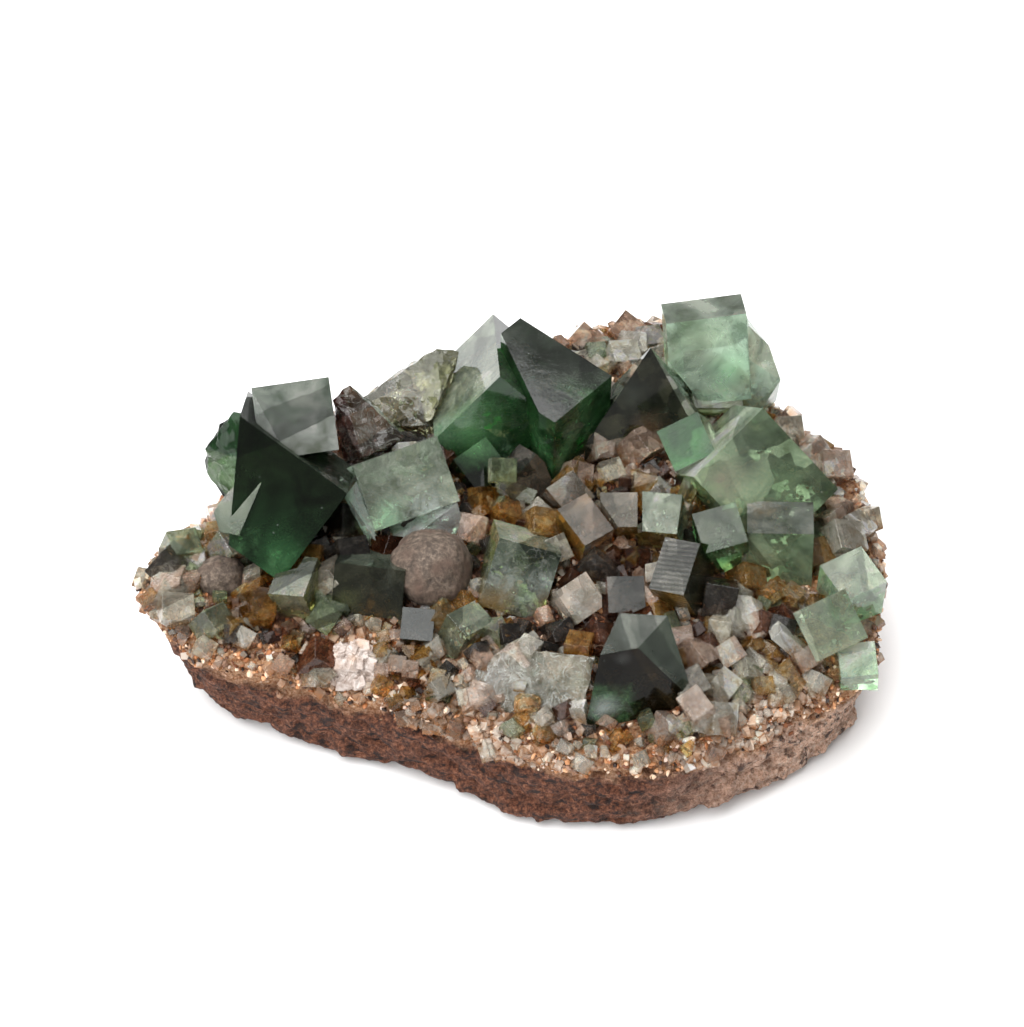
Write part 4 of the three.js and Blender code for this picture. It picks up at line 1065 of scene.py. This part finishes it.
def build_druse(rock, crystals):
    """Small intergrown crystals over the whole upper surface, in two sizes, and grains between them."""
    ground = tree_of(rock)
    taken = [tree_of(crystal) for crystal in crystals]
    low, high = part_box("rock_matrix")
    chooser = random.Random(7)
    whole = [worn_cube(0.02), worn_cube(0.03)]
    chipped = [chipped_cube(seed) for seed in range(9)]
    small = worn_cube(0.04)
    grains = [grain_shape(seed) for seed in range(5)]
    sets = {tint: Scatter("druse_" + tint) for tint in TINTS}
    rusty = Scatter("grains_rusty")
    brown = Scatter("grains_brown")
    white = Scatter("grains_white")
    sugar = Scatter("rim_sugar")

    def inside(point):
        way = Vector((0.02, 0.05, 1)).normalized()
        for tree in taken:
            crossings = 0
            start = point
            while crossings < MOST_CROSSINGS:
                hit = tree.ray_cast(start, way)[0]
                if hit is None:
                    break
                crossings += 1
                start = hit + way * STEP_ON
            if crossings % 2:
                return True
        return False

    def hides_large(point):
        """Whether a crystal here would stand in front of a large one, seen from the front and above."""
        return any(tree.ray_cast(point, -TOWARDS_VIEWER, 14 * MM)[0] is not None for tree in taken)

    def scatter(spacing, edge_low, edge_high, rise, shapes, flatness, shy):
        """Crystals about one spacing apart. A shy one moves or shrinks rather than hide a large crystal."""
        x = low.x
        while x < high.x:
            y = low.y
            while y < high.y:
                spot_x = x + chooser.uniform(-0.5, 0.5) * spacing
                spot_y = y + chooser.uniform(-0.5, 0.5) * spacing
                y += spacing
                spot = below(ground, spot_x, spot_y)[0]
                if spot is None or spot.z < DRUSE_FLOOR:
                    continue
                beyond = spot + Vector((spot.x, spot.y * 1.4, 0)).normalized() * RIM_REACH
                near_rim = below(ground, beyond.x, beyond.y)[0] is None
                if near_rim and chooser.random() < RIM_BARE:
                    continue
                if math.hypot(spot_x - QUARTZ_SPOT[0] * MM, spot_y - QUARTZ_SPOT[1] * MM) < QUARTZ_CLEARING:
                    continue
                power = SMALLER_AT_RIM if near_rim else SMALLER
                edge = edge_low + (edge_high - edge_low) * chooser.random() ** power
                centre = spot + Vector((0, 0, edge * chooser.uniform(*rise)))
                if inside(centre):
                    continue
                if chooser.random() < shy and hides_large(centre + Vector((0, 0, edge * HEAD))):
                    edge *= SHRUNK
                    centre.z = spot.z
                    if hides_large(centre + Vector((0, 0, edge * HEAD))):
                        continue
                size = Vector((edge, edge * chooser.uniform(0.75, 1), edge * chooser.uniform(0.8, 1.25)))
                turn = Euler((chooser.uniform(-1, 1) * flatness, chooser.uniform(-1, 1) * flatness,
                              chooser.uniform(0, ANY_ANGLE)))
                tint = tint_at(spot_x / MM, spot_y / MM, chooser)
                if near_rim and tint in ("smoky", "green", "red_brown"):
                    tint = chooser.choice(("clear", "amber", "pink"))
                sets[tint].add(chooser.choice(shapes), centre, size, turn, 0.2 + 0.6 * chooser.random())
            x += spacing

    for (x, y), edge, tint, lightness, angles in SINGLES:
        spot = below(ground, x * MM, y * MM)[0]
        centre = spot + Vector((0, 0, edge * 0.3 * MM))
        size = Vector((edge, edge * 0.9, edge * 1.1)) * MM
        sets[tint].add(chooser.choice(whole + chipped), centre, size, Euler(angles), lightness)
    for middle, size, tint, lightness, angles in SLIVERS:
        sets[tint].add(whole[0], Vector(middle) * MM, Vector(size) * MM, Euler(angles), lightness)
    scatter(spacing=1.4 * MM, edge_low=0.9 * MM, edge_high=2.1 * MM, rise=(0.1, 0.45),
            shapes=whole + chipped, flatness=0.8, shy=1.0)
    scatter(spacing=0.75 * MM, edge_low=0.45 * MM, edge_high=1.15 * MM, rise=(0.1, 0.7),
            shapes=[small] + chipped, flatness=1.0, shy=0.65)

    def add_grain(spot, normal, edge, target):
        centre = spot + normal * edge * 0.2
        if inside(centre):
            return
        turn = any_turn(chooser)
        size = Vector([edge * chooser.uniform(0.45, 1.4) for _ in range(3)])
        target.add(chooser.choice(grains), centre, size, turn, chooser.random())

    for _ in range(GRAINS_BETWEEN):
        spot, normal = below(ground, chooser.uniform(low.x, high.x), chooser.uniform(low.y, high.y))
        if spot is None or spot.z < GRAIN_FLOOR:
            continue
        target = chooser.choices((white, rusty, brown), (0.4, 1.2, 6))[0]
        add_grain(spot, normal, chooser.uniform(0.16, 0.45) * MM, target)
    edge_faces = [face for face in rock.data.polygons
                  if 0.1 < face.normal.z < 0.85 and face.center.z > rim_height(face.center.y) - 0.9 * MM]
    for face in chooser.choices(edge_faces, k=GRAINS_ON_RIM):
        patch = noise.noise(face.center / (1.6 * MM))
        sugary = sugar_at(face.center)
        shares = (0.6 + 4 * max(0, patch) + 5 * sugary, 7, 2.5 + 8 * max(0, -patch))
        target = chooser.choices((white, rusty, brown), shares)[0]
        add_grain(face.center.copy(), face.normal.copy(), chooser.uniform(0.12, 0.42) * MM, target)

    for face in chooser.choices(edge_faces, k=SUGAR_ON_RIM):
        if chooser.random() > sugar_at(face.center) + 0.12:
            continue
        edge = chooser.uniform(0.2, 0.7) * MM
        centre = face.center + face.normal * edge * 0.15
        if not inside(centre):
            turn = any_turn(chooser)
            shape = chooser.choice(whole + chipped)
            size = Vector((edge, edge * chooser.uniform(0.6, 1), edge))
            sugar.add(shape, centre, size, turn, chooser.random())
    rim_sugar = druse_material("rim_sugar", (0.44, 0.26, 0.16), (0.68, 0.5, 0.38), (0.9, 0.8, 0.7),
                               (0.5, 0.22, 0.08), transmission=0.6, roughness=0.15)
    sugar.piece(rim_sugar, "white_quartz")

    # tint: dark, middle and light colour, and the stain at the foot
    colours = {
        "clear": ((0.3, 0.27, 0.22), (0.68, 0.64, 0.53), (0.98, 0.96, 0.87), (0.5, 0.27, 0.1)),
        "green": ((0.24, 0.32, 0.19), (0.6, 0.7, 0.46), (0.9, 0.96, 0.78), (0.4, 0.36, 0.12)),
        "amber": ((0.34, 0.14, 0.02), (0.72, 0.42, 0.13), (0.95, 0.82, 0.58), (0.42, 0.15, 0.02)),
        "smoky": ((0.04, 0.036, 0.03), (0.14, 0.125, 0.11), (0.42, 0.4, 0.37), (0.1, 0.05, 0.02)),
        "red_brown": ((0.1, 0.034, 0.016), (0.27, 0.12, 0.07), (0.52, 0.36, 0.28), (0.16, 0.045, 0.014)),
        "pink": ((0.42, 0.28, 0.21), (0.78, 0.58, 0.46), (0.96, 0.85, 0.77), (0.5, 0.23, 0.09)),
    }
    clusters = [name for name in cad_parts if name.startswith("druse_cluster")]
    for i, tint in enumerate(TINTS):
        clarity = MILKY_CLARITY if tint in ("clear", "pink") else SMALL_CLARITY
        sets[tint].piece(druse_material("druse_" + tint, *colours[tint], transmission=clarity), "druse",
                         clusters[i::len(TINTS)])
    rusty.piece(grain_material("rusty_grains", (0.1, (0.12, 0.035, 0.01)), (0.4, (0.38, 0.14, 0.045)),
                               (0.7, (0.6, 0.32, 0.16)), (0.95, (0.78, 0.6, 0.45))), "rock")
    brown.piece(grain_material("brown_grains", (0.1, (0.02, 0.008, 0.004)), (0.5, (0.09, 0.035, 0.015)),
                               (0.9, (0.26, 0.14, 0.08))), "rock")
    white.piece(grain_material("white_grains", (0.1, (0.26, 0.14, 0.09)), (0.5, (0.42, 0.28, 0.2)),
                               (0.9, (0.64, 0.52, 0.44))), "white_quartz")


def build_quartz(rock):
    low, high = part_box("quartz_patch")
    chooser = random.Random(3)
    ground = tree_of(rock)
    patch = Scatter("quartz_sugar")
    shapes = [worn_cube(0.05)] + [grain_shape(seed + 20) for seed in range(3)]
    middle = (low + high) / 2
    for _ in range(QUARTZ_BITS):
        angle = chooser.uniform(0, ANY_ANGLE)
        outline = 0.85 + 0.45 * noise.noise(Vector((math.cos(angle), math.sin(angle), 5)))
        away = math.sqrt(chooser.random()) * outline
        x = middle.x + math.cos(angle) * away * QUARTZ_WIDE * MM
        y = middle.y + math.sin(angle) * away * QUARTZ_DEEP * MM
        hit = below(ground, x, y)[0]
        if hit is None:
            continue
        edge = chooser.uniform(0.25, 0.8) * MM
        centre = Vector((x, y, hit.z + (1 - away) * QUARTZ_HIGH * MM * chooser.random() + 0.1 * MM))
        turn = any_turn(chooser)
        patch.add(chooser.choice(shapes), centre, Vector((edge, edge, edge)), turn, chooser.random())
    return patch.piece(quartz_material(), "white_quartz", ["quartz_patch"])


def build_stage():
    bpy.ops.mesh.primitive_plane_add(size=FLOOR_WIDTH, location=(0, 0, 0))
    floor = bpy.context.object
    floor.name = "floor"
    material = bpy.data.materials.new("pale_floor")
    material.use_nodes = True
    shader = material.node_tree.nodes["Principled BSDF"]
    shader.inputs["Base Color"].default_value = (FLOOR_GREY, FLOOR_GREY, FLOOR_GREY, 1)
    shader.inputs["Roughness"].default_value = 0.7
    floor.data.materials.append(material)


def build_lights():
    world = bpy.data.worlds.new("studio")
    world.use_nodes = True
    world.node_tree.nodes["Background"].inputs["Color"].default_value = (1, 1, 1, 1)
    world.node_tree.nodes["Background"].inputs["Strength"].default_value = WORLD_STRENGTH
    bpy.context.scene.world = world
    for name, place, width, power in LAMPS:
        lamp = bpy.data.lights.new(name, "AREA")
        lamp.size = width
        lamp.energy = power
        holder = bpy.data.objects.new(name, lamp)
        holder.location = place
        holder.rotation_euler = (CAMERA_TARGET - Vector(place)).to_track_quat("-Z", "Y").to_euler()
        bpy.context.scene.collection.objects.link(holder)


def build_camera():
    camera = bpy.data.cameras.new("photo_view")
    camera.sensor_width = SENSOR
    camera.lens = SENSOR * CAMERA_DISTANCE / FIELD_WIDTH
    camera.clip_start = 0.01
    holder = bpy.data.objects.new("photo_view", camera)
    holder.location = CAMERA_TARGET + TOWARDS_VIEWER * CAMERA_DISTANCE
    holder.rotation_euler = (-TOWARDS_VIEWER).to_track_quat("-Z", "Y").to_euler()
    bpy.context.scene.collection.objects.link(holder)
    bpy.context.scene.camera = holder


rock = build_rock()
crystals = build_large_crystals()
nodule = nodule_material()
crystals.append(build_nodule("nodule_large", "grey_nodule_large", nodule))
crystals.append(build_nodule("nodule_small", "grey_nodule_small", nodule))
build_druse(rock, crystals)
build_quartz(rock)
build_flaws()
build_stage()
build_lights()
build_camera()
bpy.context.scene.view_settings.view_transform = "Standard"
bpy.context.scene.view_settings.look = "None"
bpy.context.scene.cycles.max_bounces = LIGHT_BOUNCES
bpy.context.scene.cycles.transmission_bounces = LIGHT_BOUNCES
